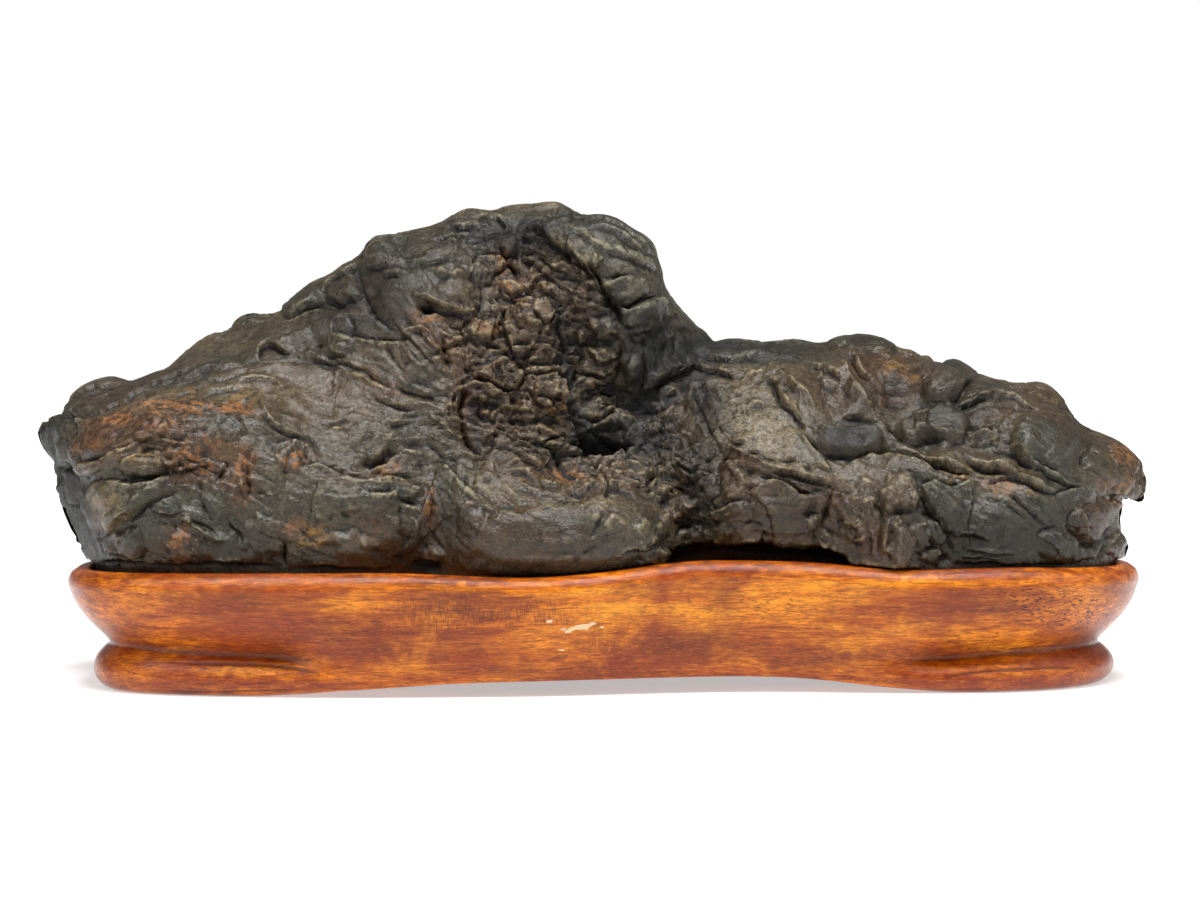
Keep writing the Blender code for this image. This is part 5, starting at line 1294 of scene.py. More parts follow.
def stroke_height(col, row, strokes):
    shape = col.shape
    flat_c, flat_r = col.ravel(), row.ravel()
    out = np.zeros(flat_c.shape)
    # the runs wander a little, as edges of a stone do
    q = np.stack([flat_c / 7.0, flat_r / 7.0, 0 * flat_c], -1)
    q2 = q * 0.42
    flat_c = flat_c + 1.0 * noise(q, 41) + 2.2 * noise(q2, 43)
    flat_r = flat_r + 1.0 * noise(q + 50.0, 42) + 2.2 * noise(q2 + 50.0, 44)
    for kind, w, a, pts in strokes:
        if kind in "LOCRV":
            line = run_of(pts, 2) if len(pts) > 2 else np.array(pts, float)
            reach = w * 10.0 + 18 if kind in "LO" else w * 5.5 + 18
            lo, hi = line.min(0) - reach, line.max(0) + reach
            m = np.nonzero((flat_c > lo[0]) & (flat_c < hi[0]) & (flat_r > lo[1]) & (flat_r < hi[1]))[0]
            if not len(m):
                continue
            d, side, part = near_line(flat_c[m], flat_r[m], line)
            taper = np.clip(np.minimum(part, 1 - part) * 3.6, 0, 1) ** 0.8
            taper = taper * (1 + 0.35 * noise(np.stack([flat_c[m] / 26.0, flat_r[m] / 26.0, 0 * flat_c[m]], -1), 45))
            if kind in "LO":
                s = d * side * (1 if kind == "L" else -1)      # above 0 where the rock stands forward
                up = np.exp(-np.maximum(s, 0) / (4.6 * w)) / (1 + np.exp(-np.clip(s * 3.0, -30, 30)))
                up = up * np.clip((reach - d) / (0.4 * reach), 0, 1)
                low = -0.36 * np.exp(-np.abs(s + 0.2 * w) / (0.28 * w + 0.3))
                v = (up + low) * taper * 1.5
            elif kind == "C":
                v = -(0.65 * np.exp(-d / (0.5 * w)) + 0.35 * np.exp(-(d / (1.3 * w)) ** 2)) * taper * 1.05
            elif kind == "R":
                v = (0.55 * np.exp(-d / (1.1 * w)) + 0.45 * np.exp(-d / (2.0 * w + 4))) * taper * 1.45
            else:
                v = -np.exp(-(d / (0.75 * w))) * taper * (0.85 if a < 3 else 1.0)
            out[m] += a * v
        else:
            x, y, rx, ry, ang = pts
            r = max(rx, ry) * 1.6
            m = np.nonzero((np.abs(flat_c - x) < r) & (np.abs(flat_r - y) < r))[0]
            if not len(m):
                continue
            # a positive lean lifts the right end
            ca, sa = math.cos(math.radians(ang)), math.sin(math.radians(ang))
            dx, dy = flat_c[m] - x, flat_r[m] - y
            q = np.sqrt(((dx * ca - dy * sa) / rx) ** 2 + ((dx * sa + dy * ca) / ry) ** 2)
            if kind == "B":
                # no two sides of a lump alike
                size = 0.55 * max(rx, ry)
                bent = noise(np.stack([dx / size, dy / size, 0 * dx + x * 0.37], -1), 47)
                q = q * (1 + 0.32 * bent)
                v = np.clip(1.3 - q ** 2.4, 0, 1) * (1.25 if max(rx, ry) > 13 else 0.85)
            else:
                v = -np.exp(-(q ** 2) * 1.5) * (0.6 if a < 4 else 1.0)
            out[m] += a * v
    return out.reshape(shape)


def blocks(q, seed):
    """broken lumps: a level for each lump, and how far it is to the next one"""
    f = np.floor(q)
    i = f.astype(np.int64) + 1000
    near = np.full(q.shape[:-1], 9.0)
    next_ = near.copy()
    level = np.zeros(q.shape[:-1])
    for cx in (-1, 0, 1):
        for cy in (-1, 0, 1):
            for cz in (-1, 0, 1):
                h = hash3(i[..., 0] + cx, i[..., 1] + cy, i[..., 2] + cz, seed)
                dx = f[..., 0] + cx + (h & np.uint32(1023)) / 1023.0 - q[..., 0]
                dy = f[..., 1] + cy + ((h >> np.uint32(10)) & np.uint32(1023)) / 1023.0 - q[..., 1]
                dz = f[..., 2] + cz + ((h >> np.uint32(20)) & np.uint32(1023)) / 1023.0 - q[..., 2]
                r = np.sqrt(dx * dx + dy * dy + dz * dz)
                # each lump's top is tilted its own way
                t = ((h >> np.uint32(3)) & np.uint32(255)) / 255.0 * 2 - 1
                t = t + 0.9 * dx * (((h >> np.uint32(13)) & np.uint32(7)) / 3.5 - 1) \
                    + 0.9 * dz * (((h >> np.uint32(23)) & np.uint32(7)) / 3.5 - 1)
                closer = r < near
                next_ = np.where(closer, near, np.minimum(next_, r))
                level = np.where(closer, t, level)
                near = np.where(closer, r, near)
    return level, next_ - near


def flow_angle(col, row):
    """which way the beds run, in radians below the horizontal"""
    f = np.array(FLOW, float)
    two = np.radians(f[:, 2]) * 2
    c = relief(np.column_stack([f[:, :2], np.cos(two)]), 0.05)(col, row)
    s = relief(np.column_stack([f[:, :2], np.sin(two)]), 0.05)(col, row)
    return 0.5 * np.arctan2(s, c)


def flow(p, ang, size, shape):
    """a pattern stretched the way the beds run; size is along, through, across"""
    out = np.zeros(ang.shape)
    total = np.zeros(ang.shape)
    for k in range(8):
        a = math.pi * k / 8
        w = np.maximum(np.cos(2 * (ang - a)), 0) ** 10
        m = w > 0.01
        x, y, z = p[m][:, 0], p[m][:, 1], p[m][:, 2]
        q = np.stack([(x * math.cos(a) - z * math.sin(a)) / size[0], y / size[1],
                      (x * math.sin(a) + z * math.cos(a)) / size[2]], -1) + 17.3 * k
        out[m] += w[m] * shape(q)
        total[m] += w[m]
    return out / np.maximum(total, 1e-6)


def finish_stone():
    p = build_stone()
    n = section_normals(p)
    n = blur(n, 3)
    n /= np.maximum(np.sqrt((n ** 2).sum(-1, keepdims=True)), 1e-9)
    front = np.zeros(p.shape[:2])
    front[:, :NF] = 1
    col, row = to_sheet(p)
    rough = np.clip(relief(ROUGH, 0.05)(col, row) * 1.15 - 0.12, 0.0, 1.0)
    rough = rough * front + 0.45 * (1 - front)
    h = stroke_height(col, row, STROKES) * front
    h = h - 0.5 * blur(h[..., None], 26)[..., 0]
    h = h + 0.35 * (h - blur(h[..., None], 2)[..., 0])
    q = warp(p, 20.0, 4.0, 3)
    big = noise(q / np.array([26.0, 20.0, 15.0]), 11)
    # broad faces that meet in hollow creases and in worn edges
    ang = flow_angle(col, row)

    def faces_of(k):
        return lambda q: (np.maximum(noise(q, k), noise(q + 9.3, k + 1) - 0.1)
                          + np.minimum(noise(q + 21.1, k + 2), noise(q + 33.7, k + 3) + 0.1))

    def folds_of(k):
        return lambda q: np.minimum(np.abs(noise(q, k)) * 2.2, 1.0) - 0.45

    q2 = warp(p, 8.0, 2.0, 5)
    faces = flow(q, ang, (24.0, 13.0, 10.0), faces_of(12))
    flakes = flow(q2, ang, (13.0, 6.2, 4.2), faces_of(16))
    folds = flow(q, ang, (28.0, 11.0, 6.5), folds_of(101))
    fine = flow(q2, ang, (18.0, 4.5, 2.4), folds_of(131))
    chips = np.abs(noise(q2 / np.array([3.6, 3.6, 3.0]), 21)) * 2 - 0.6

    def beds_of(k, uneven):
        def beds(q):
            t = q[:, 2] + uneven * noise(q * np.array([0.5, 0.4, 0.5]), k) + 0.22 * noise(q * 1.7, k + 1)
            saw = t - np.floor(t)
            which = noise(q * np.array([0.33, 0.3, 0.33]), k + 2) * 2.2
            return (saw - 0.5) * (1 - smooth(0.90, 1.0, saw)) * np.clip(which, -1, 1)
        return beds

    chunk_a, gap_a = blocks(q2 / np.array([13.0, 11.0, 9.5]), 171)
    chunk_b, gap_b = blocks(warp(p, 5.0, 1.4, 9) / np.array([6.0, 5.4, 3.6]), 177)
    broken = smooth(0.35, 0.95, rough)
    rubble = 0.95 * broken * (1.15 * chunk_a * smooth(0.0, 0.10, gap_a) - 0.7 * (1 - smooth(0.0, 0.16, gap_a))
                       + 0.45 * chunk_b * smooth(0.0, 0.12, gap_b) - 0.28 * (1 - smooth(0.0, 0.16, gap_b)))
    beds = flow(p, ang, (17.0, 9.5, 5.4), beds_of(151, 1.3))
    leaves = flow(p, ang, (9.0, 4.8, 2.2), beds_of(161, 1.1))
    back = 1 - front
    d = (0.4 + 1.9 * back) * big + (0.7 + 1.85 * back) * faces \
        + (0.16 + 0.35 * rough) * flakes + rubble \
        + (0.03 + 0.05 * rough + 1.0 * back) * folds + (0.02 + 0.05 * rough) * fine \
        + (0.36 + 0.45 * rough + 1.1 * back) * beds + (0.16 + 0.38 * rough) * leaves \
        + 0.12 * rough * chips + (0.02 + 0.06 * rough) * noise(p / 1.3, 31)
    crisp = 1 - 0.6 * back
    d = d + crisp * (0.75 * (d - blur(d[..., None], 2)[..., 0]) + 0.3 * (d - blur(d[..., None], 6)[..., 0]))
    d = d + h * (1 - 0.1 * broken)
    # the outline stays as drawn
    edge = run_of(SKYLINE, 1)
    away = np.minimum(near_line(col, row, edge)[0], np.minimum(
        near_line(col, row, np.array(LEFT_END, float))[0], near_line(col, row, np.array(RIGHT_END, float))[0]))
    most = 0.9 + 0.24 * away + 0.5 * (d < 0) * (1 + 0.3 * away)
    d = most * np.tanh(d / most)
    keep = smooth(36.0, 42.0, p[..., 2])
    p = p + n * (d * (0.25 + 0.75 * keep))[..., None]
    return p, col, row, front, rough, ang


def seat_clamp(p):
    """keep the foot of the stone inside the seat and off the rim"""
    loop = rounded_loop(RIM_PLAN, 400)
    inner = loop + plan_normals(loop) * (RIM_WIDTH + 0.6)
    zr = rim_height(loop)
    flat = p.reshape(-1, 3)
    low = np.nonzero(flat[:, 2] < 42.5)[0]
    x, y = flat[low, 0], flat[low, 1]
    best = np.full(len(low), 1e9)
    idx = np.zeros(len(low), int)
    for k in range(len(inner)):
        r = (x - inner[k, 0]) ** 2 + (y - inner[k, 1]) ** 2
        m = r < best
        best[m] = r[m]
        idx[m] = k
    nin = plan_normals(loop)[idx]
    outside = (x - inner[idx, 0]) * nin[:, 0] + (y - inner[idx, 1]) * nin[:, 1] < 0
    rim = zr[idx] + 0.5
    under = flat[low, 2] < rim
    fix = outside & under
    flat[low[fix], 0] = inner[idx[fix], 0]
    flat[low[fix], 1] = inner[idx[fix], 1]
    flat[:, 2] = np.maximum(flat[:, 2], SEAT_FLOOR + 0.3)
    return flat.reshape(p.shape)


def zip_end(base, flip):
    """close an end between the front chain and the back chain of its section"""
    front = list(base + np.arange(NF))
    back = list(base + NF + np.arange(NB))[::-1]
    tris = []
    i = j = 0
    while i < NF - 1 or j < NB - 1:
        if j == NB - 1 or (i < NF - 1 and (i + 1) / (NF - 1) <= (j + 1) / (NB - 1)):
            tris.append((front[i], front[i + 1], back[j]))
            i += 1
        else:
            tris.append((front[i], back[j + 1], back[j]))
            j += 1
    return [t[::-1] for t in tris] if flip else tris


def patch_mask(kind, col, row, front, patches, stray=1.0):
    out = np.zeros(col.shape)
    q = np.stack([col / 14.0, row / 14.0, 0 * col], -1)
    c2 = col + stray * (7.0 * noise(q, 61) + 3.0 * noise(q * 2.7, 62))
    r2 = row + stray * (7.0 * noise(q + 40.0, 63) + 3.0 * noise(q * 2.7 + 40.0, 64))
    for what, x, y, rx, ry, ang, amount in patches:
        if what != kind:
            continue
        ca, sa = math.cos(math.radians(ang)), math.sin(math.radians(ang))
        dx, dy = c2 - x, r2 - y
        q = ((dx * ca - dy * sa) / rx) ** 2 + ((dx * sa + dy * ca) / ry) ** 2
        out = out + amount * 1.5 * np.exp(-(q ** 1.4) * 0.7)
    return out * front


def thinned(obj, shade):
    """fewer triangles where the surface is plain, shaded as the full one is"""
    a = obj.data.attributes.new("shade", "FLOAT_VECTOR", "POINT")
    a.data.foreach_set("vector", np.asarray(shade, np.float32).ravel())
    count = sum(len(p.vertices) - 2 for p in obj.data.polygons)
    mod = obj.modifiers.new("thin", "DECIMATE")
    mod.ratio = MOST / count
    mod.use_collapse_triangulate = True
    graph = bpy.context.evaluated_depsgraph_get()
    mesh = bpy.data.meshes.new_from_object(obj.evaluated_get(graph), depsgraph=graph)
    obj.modifiers.clear()
    full = obj.data
    obj.data = mesh
    bpy.data.meshes.remove(full)
    mesh.name = obj.name
    n = np.empty(len(mesh.vertices) * 3, np.float32)
    mesh.attributes["shade"].data.foreach_get("vector", n)
    n = n.reshape(-1, 3).astype(float)
    n /= np.maximum(np.sqrt((n ** 2).sum(-1, keepdims=True)), 1e-9)
    mesh.normals_split_custom_set_from_vertices([tuple(v) for v in n])
    mesh.attributes.remove(mesh.attributes["shade"])
    return obj


def stone_object():
    p, col, row, front, rough, ang = finish_stone()
    p = seat_clamp(p)
    shade = section_normals(p)
    n = blur(shade, 2)
    # how hollow the surface is at three sizes; the material paints shade into the hollows and highlight onto the
    # edges from these
    cav = {}
    for name, k in (("fine", 2), ("mid", 7), ("wide", 26)):
        cav[name] = ((blur(p, k) - p) * n).sum(-1) * (0.36 + 0.64 * front)
    world = (p + SHIFT) * MM
    ring = NF + NB
    obj = make_mesh("stone_visual", world.reshape(-1, 3), ring_faces(NU, ring),
                    zip_end(0, False) + zip_end((NU - 1) * ring, True))
    for name in cav:
        paint(obj, "cav_" + name, cav[name])
    back = {"rust": 0.25, "ochre": 0.2, "brown": 0.5, "red": 0.15, "pale": 0.3, "olive": 0.2,
            "cool": 0.6, "dark": 0.5}
    for k, kind in enumerate(back):
        wild = smooth(0.25, 0.75, noise(p / np.array([30.0, 30.0, 18.0]), 81 + k) + 0.15) * back[kind]
        paint(obj, "m_" + kind, patch_mask(kind, col, row, front, PATCHES) + wild * (1 - 0.8 * front))
    paint(obj, "rough", rough)
    for k in range(4):
        paint(obj, "run_%d" % k, np.maximum(np.cos(2 * (ang - math.pi * k / 4)), 0) ** 2)
    return thinned(obj, shade.reshape(-1, 3))


# ------------------------------------------------------------------ materials
class Net:
    """short hands for building a node tree"""

    def __init__(self, name):
        self.m = bpy.data.materials.new(name)
        self.m.use_nodes = True
        self.t = self.m.node_tree
        self.t.nodes.clear()
        out = self.t.nodes.new("ShaderNodeOutputMaterial")
        self.b = self.t.nodes.new("ShaderNodeBsdfPrincipled")
        self.t.links.new(self.b.outputs[0], out.inputs[0])
        tc = self.t.nodes.new("ShaderNodeTexCoord")
        self.at = tc.outputs["Object"]

    def put(self, socket, v):
        if hasattr(v, "is_linked"):
            self.t.links.new(v, socket)
        elif isinstance(v, (tuple, list)) and len(v) == 3 and socket.type == "RGBA":
            socket.default_value = (*v, 1)
        else:
            socket.default_value = v

    def attr(self, name):
        n = self.t.nodes.new("ShaderNodeAttribute")
        n.attribute_name = name
        return n.outputs["Fac"]

    def math(self, op, a, b=0.0, c=0.0, clamp=False):
        n = self.t.nodes.new("ShaderNodeMath")
        n.operation = op
        n.use_clamp = clamp
        for s, v in zip(n.inputs, (a, b, c)):
            self.put(s, v)
        return n.outputs[0]

    def span(self, v, a, b, lo=0.0, hi=1.0, soft=True):
        n = self.t.nodes.new("ShaderNodeMapRange")
        n.interpolation_type = "SMOOTHSTEP" if soft else "LINEAR"
        self.put(n.inputs["Value"], v)
        for k, x in zip(("From Min", "From Max", "To Min", "To Max"), (a, b, lo, hi)):
            n.inputs[k].default_value = x
        return n.outputs[0]

    def scale(self, v, by, turn=(0, 0, 0)):
        n = self.t.nodes.new("ShaderNodeMapping")
        self.put(n.inputs["Vector"], v)
        n.inputs["Scale"].default_value = by
        n.inputs["Rotation"].default_value = turn
        return n.outputs[0]

    def noise(self, v, size, detail=5.0, rough=0.55, warp=0.0, kind="FBM"):
        n = self.t.nodes.new("ShaderNodeTexNoise")
        n.noise_type = kind
        self.put(n.inputs["Vector"], v)
        n.inputs["Scale"].default_value = size
        n.inputs["Detail"].default_value = detail
        n.inputs["Roughness"].default_value = rough
        n.inputs["Distortion"].default_value = warp
        return n.outputs[0]

    def cells(self, v, size, feature="F1", out="Distance"):
        n = self.t.nodes.new("ShaderNodeTexVoronoi")
        n.feature = feature
        self.put(n.inputs["Vector"], v)
        n.inputs["Scale"].default_value = size
        return n.outputs[out]

    def mix(self, f, a, b, how="MIX"):
        n = self.t.nodes.new("ShaderNodeMix")
        n.data_type = "RGBA"
        n.blend_type = how
        self.put(n.inputs[0], f)
        self.put(n.inputs[6], a)
        self.put(n.inputs[7], b)
        return n.outputs[2]

    def turned(self, v, turn, by):
        """turn first, then stretch"""
        a = self.t.nodes.new("ShaderNodeMapping")
        self.put(a.inputs["Vector"], v)
        a.inputs["Rotation"].default_value = turn
        return self.scale(a.outputs[0], by)

    def tint(self, v, by):
        n = self.t.nodes.new("ShaderNodeMix")
        n.data_type = "RGBA"
        n.blend_type = "MULTIPLY"
        n.inputs[0].default_value = 1.0
        self.put(n.inputs[6], v)
        n.inputs[7].default_value = (*by, 1)
        return n.outputs[2]

    def bump(self, height, depth, strength, under=None):
        n = self.t.nodes.new("ShaderNodeBump")
        n.inputs["Strength"].default_value = strength
        n.inputs["Distance"].default_value = depth
        self.put(n.inputs["Height"], height)
        if under is not None:
            self.put(n.inputs["Normal"], under)
        return n.outputs[0]


def srgb(r, g, b):
    return tuple((c / 255 / 12.92) if c / 255 <= 0.04045 else ((c / 255 + 0.055) / 1.055) ** 2.4
                 for c in (r, g, b))


def stone_material():
    k = Net("stone_surface")
    at = k.at
    n_wide = k.noise(at, 22.0, 6, 0.6)
    n_mid = k.noise(at, 90.0, 7, 0.62, 0.4)
    n_fine = k.noise(at, 420.0, 6, 0.65)
    n_grit = k.noise(at, 1500.0, 4, 0.6)
    streak = k.noise(k.scale(at, (1.0, 1.0, 3.2), (0, 0.35, 0)), 150.0, 6, 0.6, 0.6)
    base = k.mix(k.span(n_wide, 0.40, 0.60), srgb(62, 62, 58), srgb(88, 72, 58))
    base = k.mix(k.span(n_mid, 0.42, 0.64), base, srgb(102, 92, 80))
    # cool grey-green skin where the stone is worn smooth
    cool = k.math("MULTIPLY", k.attr("m_cool"), k.span(n_mid, 0.25, 0.6, 0.55, 1.0), clamp=True)
    base = k.mix(cool, base, k.mix(k.span(n_fine, 0.3, 0.7), srgb(54, 58, 53), srgb(78, 83, 77)))
    brown = k.math("MULTIPLY", k.attr("m_brown"), k.span(streak, 0.3, 0.62, 0.35, 1.0), clamp=True)
    base = k.mix(brown, base, k.mix(k.span(n_fine, 0.35, 0.7), srgb(72, 50, 36), srgb(112, 84, 60)))
    pale = k.math("MULTIPLY", k.attr("m_pale"), k.span(n_fine, 0.3, 0.62, 0.25, 1.0), clamp=True)
    base = k.mix(pale, base, k.mix(k.span(n_grit, 0.35, 0.7), srgb(122, 112, 98), srgb(160, 150, 134)))
    olive = k.math("MULTIPLY", k.attr("m_olive"), k.span(n_mid, 0.35, 0.6, 0.3, 1.0), clamp=True)
    base = k.mix(olive, base, srgb(98, 88, 54))
    red = k.math("MULTIPLY", k.attr("m_red"), k.span(streak, 0.36, 0.62, 0.1, 1.0), clamp=True)
    base = k.mix(red, base, srgb(76, 38, 26))
    ochre = k.math("MULTIPLY", k.attr("m_ochre"), k.span(n_fine, 0.42, 0.58, 0.08, 1.0), clamp=True)
    base = k.mix(ochre, base, srgb(156, 118, 56))
    mottle = k.math("MULTIPLY_ADD", n_fine, 0.6, k.math("MULTIPLY", n_mid, 0.4))
    rust = k.math("MULTIPLY", k.attr("m_rust"), k.span(mottle, 0.42, 0.56, 0.06, 1.0), clamp=True)
    base = k.mix(k.math("MULTIPLY", rust, 0.85), base,
                 k.mix(k.span(n_fine, 0.42, 0.62), srgb(112, 66, 36), srgb(184, 124, 66)))
    # scattered rusty and pale flecks
    fleck = k.span(k.noise(at, 240.0, 5, 0.7, 1.2), 0.60, 0.72)
    base = k.mix(k.math("MULTIPLY", fleck, 0.40), base, srgb(104, 66, 38))
    fleck2 = k.span(k.noise(at, 620.0, 3, 0.6), 0.66, 0.76)
    base = k.mix(k.math("MULTIPLY", fleck2, 0.3), base, srgb(124, 116, 102))
    # creases get painted shade and edges a painted highlight, further below
    # grain of the stone, dark and light
    base = k.mix(k.span(n_grit, 0.38, 0.62, 0.30, 0.0), base, srgb(24, 19, 14))
    base = k.mix(k.span(n_grit, 0.52, 0.70, 0.0, 0.22), base, srgb(150, 140, 122))
    base = k.mix(k.span(n_fine, 0.36, 0.52, 0.35, 0.0), base, srgb(28, 23, 18))
    # fine cracks and hairlines that run with the beds
    wrinkle = None
    hair = None
    for i in range(4):
        turn = (0, -math.pi * i / 4, 0)
        v = k.turned(at, turn, (1.0, 2.0, 3.4))
        a1 = k.math("ABSOLUTE", k.math("SUBTRACT", k.noise(v, 95.0, 4, 0.6, 0.5), 0.5))
        a2 = k.math("ABSOLUTE", k.math("SUBTRACT", k.noise(v, 260.0, 3, 0.6, 0.3), 0.5))
        w = k.attr("run_%d" % i)
        a1, a2 = k.math("MULTIPLY", a1, w), k.math("MULTIPLY", a2, w)
        wrinkle = a1 if wrinkle is None else k.math("ADD", wrinkle, a1)
        hair = a2 if hair is None else k.math("ADD", hair, a2)
    lot = k.math("MULTIPLY_ADD", k.attr("rough"), 0.75, 0.15)
    crack = k.math("MULTIPLY", k.span(wrinkle, 0.0, 0.035, 1.0, 0.0), lot)
    crack = k.math("MULTIPLY", crack, k.span(n_wide, 0.42, 0.58))
    line = k.math("MULTIPLY", k.span(hair, 0.0, 0.045, 1.0, 0.0), k.math("MULTIPLY_ADD", lot, 0.65, 0.16))
    base = k.mix(k.math("ADD", crack, line, clamp=True), base, srgb(22, 16, 11))
    # painted shade: the hollows of the surface (cav_*) are darkened towards black
    crease_shade = k.math("ADD", k.span(k.attr("cav_mid"), 0.4, 1.3, 0, 0.6), k.span(k.attr("cav_fine"), 0.13, 0.42, 0, 0.95))
    crease_shade = k.math("ADD", crease_shade, k.span(k.attr("cav_wide"), 1.8, 4.8, 0, 0.5), clamp=True)
    crease_shade = k.math("MULTIPLY", crease_shade, k.span(n_mid, 0.2, 0.5, 0.6, 1.0))
    base = k.mix(k.math("MULTIPLY", crease_shade, 0.96), base, srgb(9, 6, 4))
    # painted highlight: convex edges (cav_fine and cav_mid below zero) are painted pale
    edge = k.math("ADD", k.span(k.attr("cav_fine"), -0.18, -0.50, 0, 0.55),
                  k.span(k.attr("cav_mid"), -0.7, -1.9, 0, 0.15), clamp=True)
    edge_highlight = k.math("MULTIPLY", edge, k.span(n_fine, 0.42, 0.56, 0.1, 1.0))
    base = k.mix(edge_highlight, base, k.mix(cool, srgb(168, 156, 134), srgb(160, 164, 152)))
    # m_dark darkens the colour: partly darker stone, partly painted shade in the cave and on the left end face
    dark_and_shade = k.math("MULTIPLY_ADD", k.attr("m_dark"), -0.8, 1.0)
    dark_and_shade = k.math("MAXIMUM", dark_and_shade, 0.08)
    base = k.mix(dark_and_shade, (0, 0, 0), base)
    tone = k.tint(base, (0.72, 0.665, 0.51))
    k.put(k.b.inputs["Base Color"], tone)
    r = k.span(n_fine, 0.3, 0.7, 0.20, 0.36)
    r = k.math("SUBTRACT", r, k.math("MULTIPLY", cool, 0.05))
    r = k.math("ADD", r, k.math("MULTIPLY", k.attr("rough"), 0.05))
    r = k.math("SUBTRACT", r, k.math("MULTIPLY", edge_highlight, 0.12))
    r = k.math("ADD", r, k.math("MULTIPLY", crease_shade, 0.3))
    r = k.math("ADD", r, k.math("MULTIPLY", k.attr("m_dark"), 0.22))
    r = k.math("ADD", r, k.math("MULTIPLY", rust, 0.16), clamp=True)
    k.put(k.b.inputs["Roughness"], r)
    k.b.inputs["Specular IOR Level"].default_value = 0.45
    amount = k.math("MULTIPLY_ADD", k.attr("rough"), 0.8, 0.28)
    h1 = k.math("MULTIPLY", wrinkle, amount)
    h2 = k.math("MULTIPLY", hair, amount)
    pit = k.math("MULTIPLY", k.noise(at, 330.0, 5, 0.62, 0.8), amount)
    n = k.bump(h1, 0.0015, 0.8)
    n = k.bump(h2, 0.0005, 0.7, n)
    n = k.bump(pit, 0.0010, 0.75, n)
    n = k.bump(n_fine, 0.0006, 0.6, n)
    n = k.bump(n_grit, 0.0002, 0.6, n)
    k.put(k.b.inputs["Normal"], n)
    return k.m


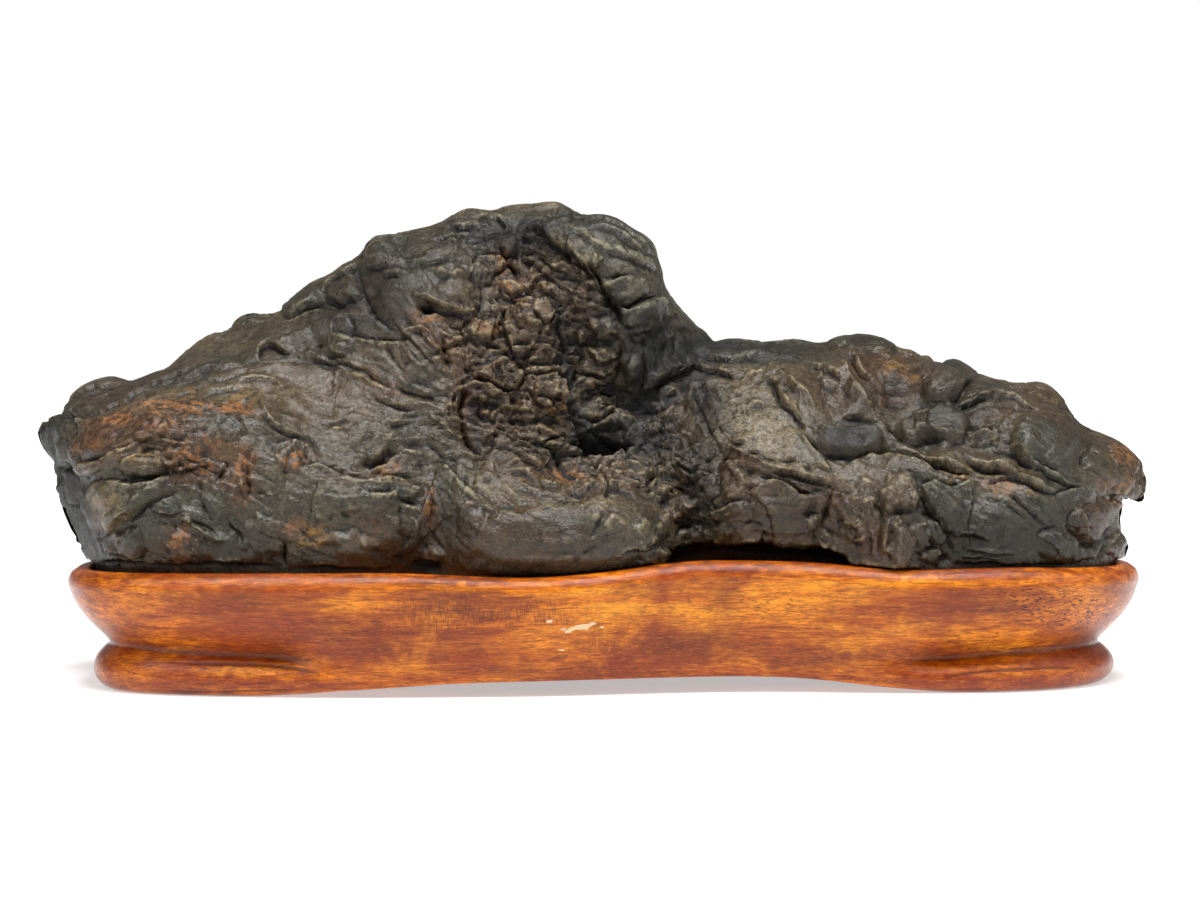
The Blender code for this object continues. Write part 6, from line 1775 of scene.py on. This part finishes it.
def wood_material():
    k = Net("stand_lacquer")
    at = k.at
    long = k.scale(at, (1.0, 4.5, 11.0))
    wav = k.noise(k.scale(at, (1.0, 1.5, 2.2)), 16.0, 5, 0.6, 0.8)
    grain = k.noise(long, 38.0, 9, 0.66, 0.5)
    fine = k.noise(k.scale(at, (1.0, 7.0, 22.0), (0, 0.02, 0)), 130.0, 6, 0.7, 0.3)
    pores = k.noise(k.scale(at, (1.0, 5.0, 9.0), (0, 0.10, 0)), 420.0, 3, 0.6)
    cloud = k.noise(k.scale(at, (1.0, 1.0, 1.8)), 30.0, 6, 0.65, 0.8)
    base = k.mix(k.span(grain, 0.36, 0.64), srgb(134, 58, 6), srgb(206, 118, 22))
    base = k.mix(k.span(wav, 0.46, 0.60, 0, 0.75), base, srgb(134, 48, 6))
    # gold: lighter wood, with painted highlight in the thin bands under the rim and along the beads
    gold_and_sheen = k.math("MULTIPLY", k.attr("w_gold_and_sheen"), k.span(cloud, 0.36, 0.6, 0.35, 1.0), clamp=True)
    base = k.mix(k.math("MULTIPLY", gold_and_sheen, 0.85), base, k.mix(k.span(grain, 0.4, 0.6), srgb(206, 118, 22), srgb(236, 160, 52)))
    umber = k.math("MULTIPLY", k.attr("w_umber"), k.span(cloud, 0.34, 0.58, 0.4, 1.0), clamp=True)
    base = k.mix(k.math("MULTIPLY", umber, 0.85), base, srgb(98, 40, 12))
    wine = k.math("MULTIPLY", k.attr("w_wine"), k.span(cloud, 0.34, 0.6, 0.4, 1.0), clamp=True)
    base = k.mix(k.math("MULTIPLY", wine, 0.7), base, srgb(118, 36, 20))
    base = k.mix(k.span(cloud, 0.56, 0.72, 0, 0.55), base, srgb(222, 138, 36))
    # short interlocked streaks
    short = k.noise(k.scale(at, (1.0, 2.2, 6.0), (0, 0.10, 0)), 300.0, 5, 0.7, 0.6)
    base = k.mix(k.span(short, 0.40, 0.54, 0.45, 0), base, srgb(88, 36, 8))
    base = k.mix(k.span(short, 0.56, 0.70, 0, 0.40), base, srgb(226, 146, 44))
    base = k.mix(k.span(fine, 0.38, 0.50, 0.6, 0), base, srgb(74, 28, 8))
    base = k.mix(k.span(pores, 0.60, 0.68, 0, 0.5), base, srgb(56, 18, 5))
    # open pores, slanting dark flecks
    fleck = k.span(k.noise(k.scale(at, (1.0, 1.0, 3.4), (0, 0.5, 0)), 520.0, 2, 0.5), 0.56, 0.64)
    base = k.mix(k.math("MULTIPLY", k.attr("w_pore"), fleck, clamp=True), base, srgb(64, 22, 6))
    # marks of the rasp, short strokes across the grain
    rasp = k.span(k.noise(k.scale(at, (6.0, 1.0, 1.0), (0, 0.12, 0)), 330.0, 2, 0.5), 0.50, 0.60)
    rasp = k.math("MULTIPLY", rasp, k.math("MULTIPLY", k.attr("w_rasp"), k.span(cloud, 0.40, 0.56)), clamp=True)
    base = k.mix(k.math("MULTIPLY", rasp, 0.55), base, srgb(96, 36, 8))
    # painted shade in the grooves and hollows
    groove_shade = k.math("ADD", k.span(k.attr("w_groove_shade"), 0.08, 0.45), k.span(k.attr("w_line"), 0.15, 0.8), clamp=True)
    base = k.mix(k.math("MULTIPLY", groove_shade, 0.7), base, srgb(62, 20, 6))
    # chips through the lacquer to pale wood
    chip = k.math("ADD", k.attr("w_chip"), k.math("SUBTRACT", k.noise(k.scale(at, (1, 1, 2)), 420.0, 4, 0.6), 0.5))
    chip = k.span(chip, 0.52, 0.62)
    base = k.mix(chip, k.tint(base, (1.22, 1.06, 0.38)), srgb(232, 200, 156))
    k.put(k.b.inputs["Base Color"], base)
    r = k.span(cloud, 0.35, 0.7, 0.24, 0.38)
    k.put(k.b.inputs["Roughness"], k.math("ADD", r, k.math("MULTIPLY", chip, 0.35), clamp=True))
    k.b.inputs["Specular IOR Level"].default_value = 0.1
    k.b.inputs["Coat Weight"].default_value = 0.55
    k.b.inputs["Coat Roughness"].default_value = 0.05
    n = k.bump(fine, 0.0003, 0.5)
    n = k.bump(short, 0.0003, 0.5, n)
    n = k.bump(k.noise(k.scale(at, (1, 2, 3)), 60.0, 4, 0.5), 0.0009, 0.35, n)
    n = k.bump(k.noise(k.scale(at, (1, 1.5, 2)), 210.0, 3, 0.55), 0.0003, 0.5, n)
    n = k.bump(rasp, -0.00025, 0.6, n)
    n = k.bump(chip, -0.0003, 0.8, n)
    k.put(k.b.inputs["Normal"], n)
    k.put(k.b.inputs["Coat Normal"], n)
    return k.m


# ------------------------------------------------------------------ stage
def stage():
    world = bpy.data.worlds.new("studio")
    bpy.context.scene.world = world
    world.use_nodes = True
    tree = world.node_tree
    bg = tree.nodes["Background"]
    bg.inputs[0].default_value = (1, 1, 1, 1)
    # a white backdrop, with a dimmer room round it
    path = tree.nodes.new("ShaderNodeLightPath")
    level = tree.nodes.new("ShaderNodeMapRange")
    level.inputs["To Min"].default_value = 0.20
    level.inputs["To Max"].default_value = 1.05
    tree.links.new(path.outputs["Is Camera Ray"], level.inputs["Value"])
    tree.links.new(level.outputs[0], bg.inputs[1])
    bpy.ops.mesh.primitive_plane_add(size=12.0, location=(0, 2.0, 0))
    floor = bpy.context.active_object
    floor.name = "studio_floor"
    k = Net("studio_floor")
    k.b.inputs["Base Color"].default_value = (0.62, 0.62, 0.62, 1)
    k.b.inputs["Roughness"].default_value = 0.85
    k.b.inputs["Emission Color"].default_value = (1, 1, 1, 1)
    k.b.inputs["Emission Strength"].default_value = 0.45
    floor.data.materials.append(k.m)

    def area(name, at, aim, size, power, size_y=None):
        l = bpy.data.lights.new(name, "AREA")
        l.energy = power
        l.size = size
        if size_y:
            l.shape = "RECTANGLE"
            l.size_y = size_y
        o = bpy.data.objects.new(name, l)
        bpy.context.scene.collection.objects.link(o)
        o.location = at
        from mathutils import Vector
        o.rotation_euler = (Vector(aim) - Vector(at)).to_track_quat("-Z", "Y").to_euler()
        return o
    sun = bpy.data.lights.new("top", "SUN")
    sun.energy = 4.0
    sun.angle = math.radians(20)
    o = bpy.data.objects.new("top", sun)
    bpy.context.scene.collection.objects.link(o)
    o.rotation_euler = (math.radians(16), math.radians(2), 0)
    area("left", (-0.8, -0.7, 0.9), (0, 0, 0.07), 0.3, 6.0, 0.5)
    area("right", (0.95, -0.35, 0.7), (0, 0, 0.07), 0.4, 4.0, 0.6)
    cam = bpy.data.cameras.new("camera")
    cam.lens = 75.0
    cam.sensor_width = 36.0
    cam.clip_start = 0.01
    o = bpy.data.objects.new("camera", cam)
    bpy.context.scene.collection.objects.link(o)
    o.location = tuple((EYE + SHIFT) * MM)
    o.rotation_euler = (math.pi / 2 - TIP, 0, 0)
    bpy.context.scene.camera = o
    bpy.context.scene.view_settings.view_transform = "Standard"
    bpy.context.scene.view_settings.look = "None"


# ------------------------------------------------------------------ put together
stand = build_stand()
stone = stone_object()
for obj, mat, node, slot in ((stand, wood_material(), "stand", "stand_wood"),
                             (stone, stone_material(), "stone", "stone")):
    obj.data.materials.append(mat)
    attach(obj, "root")
    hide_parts(node)
stage()
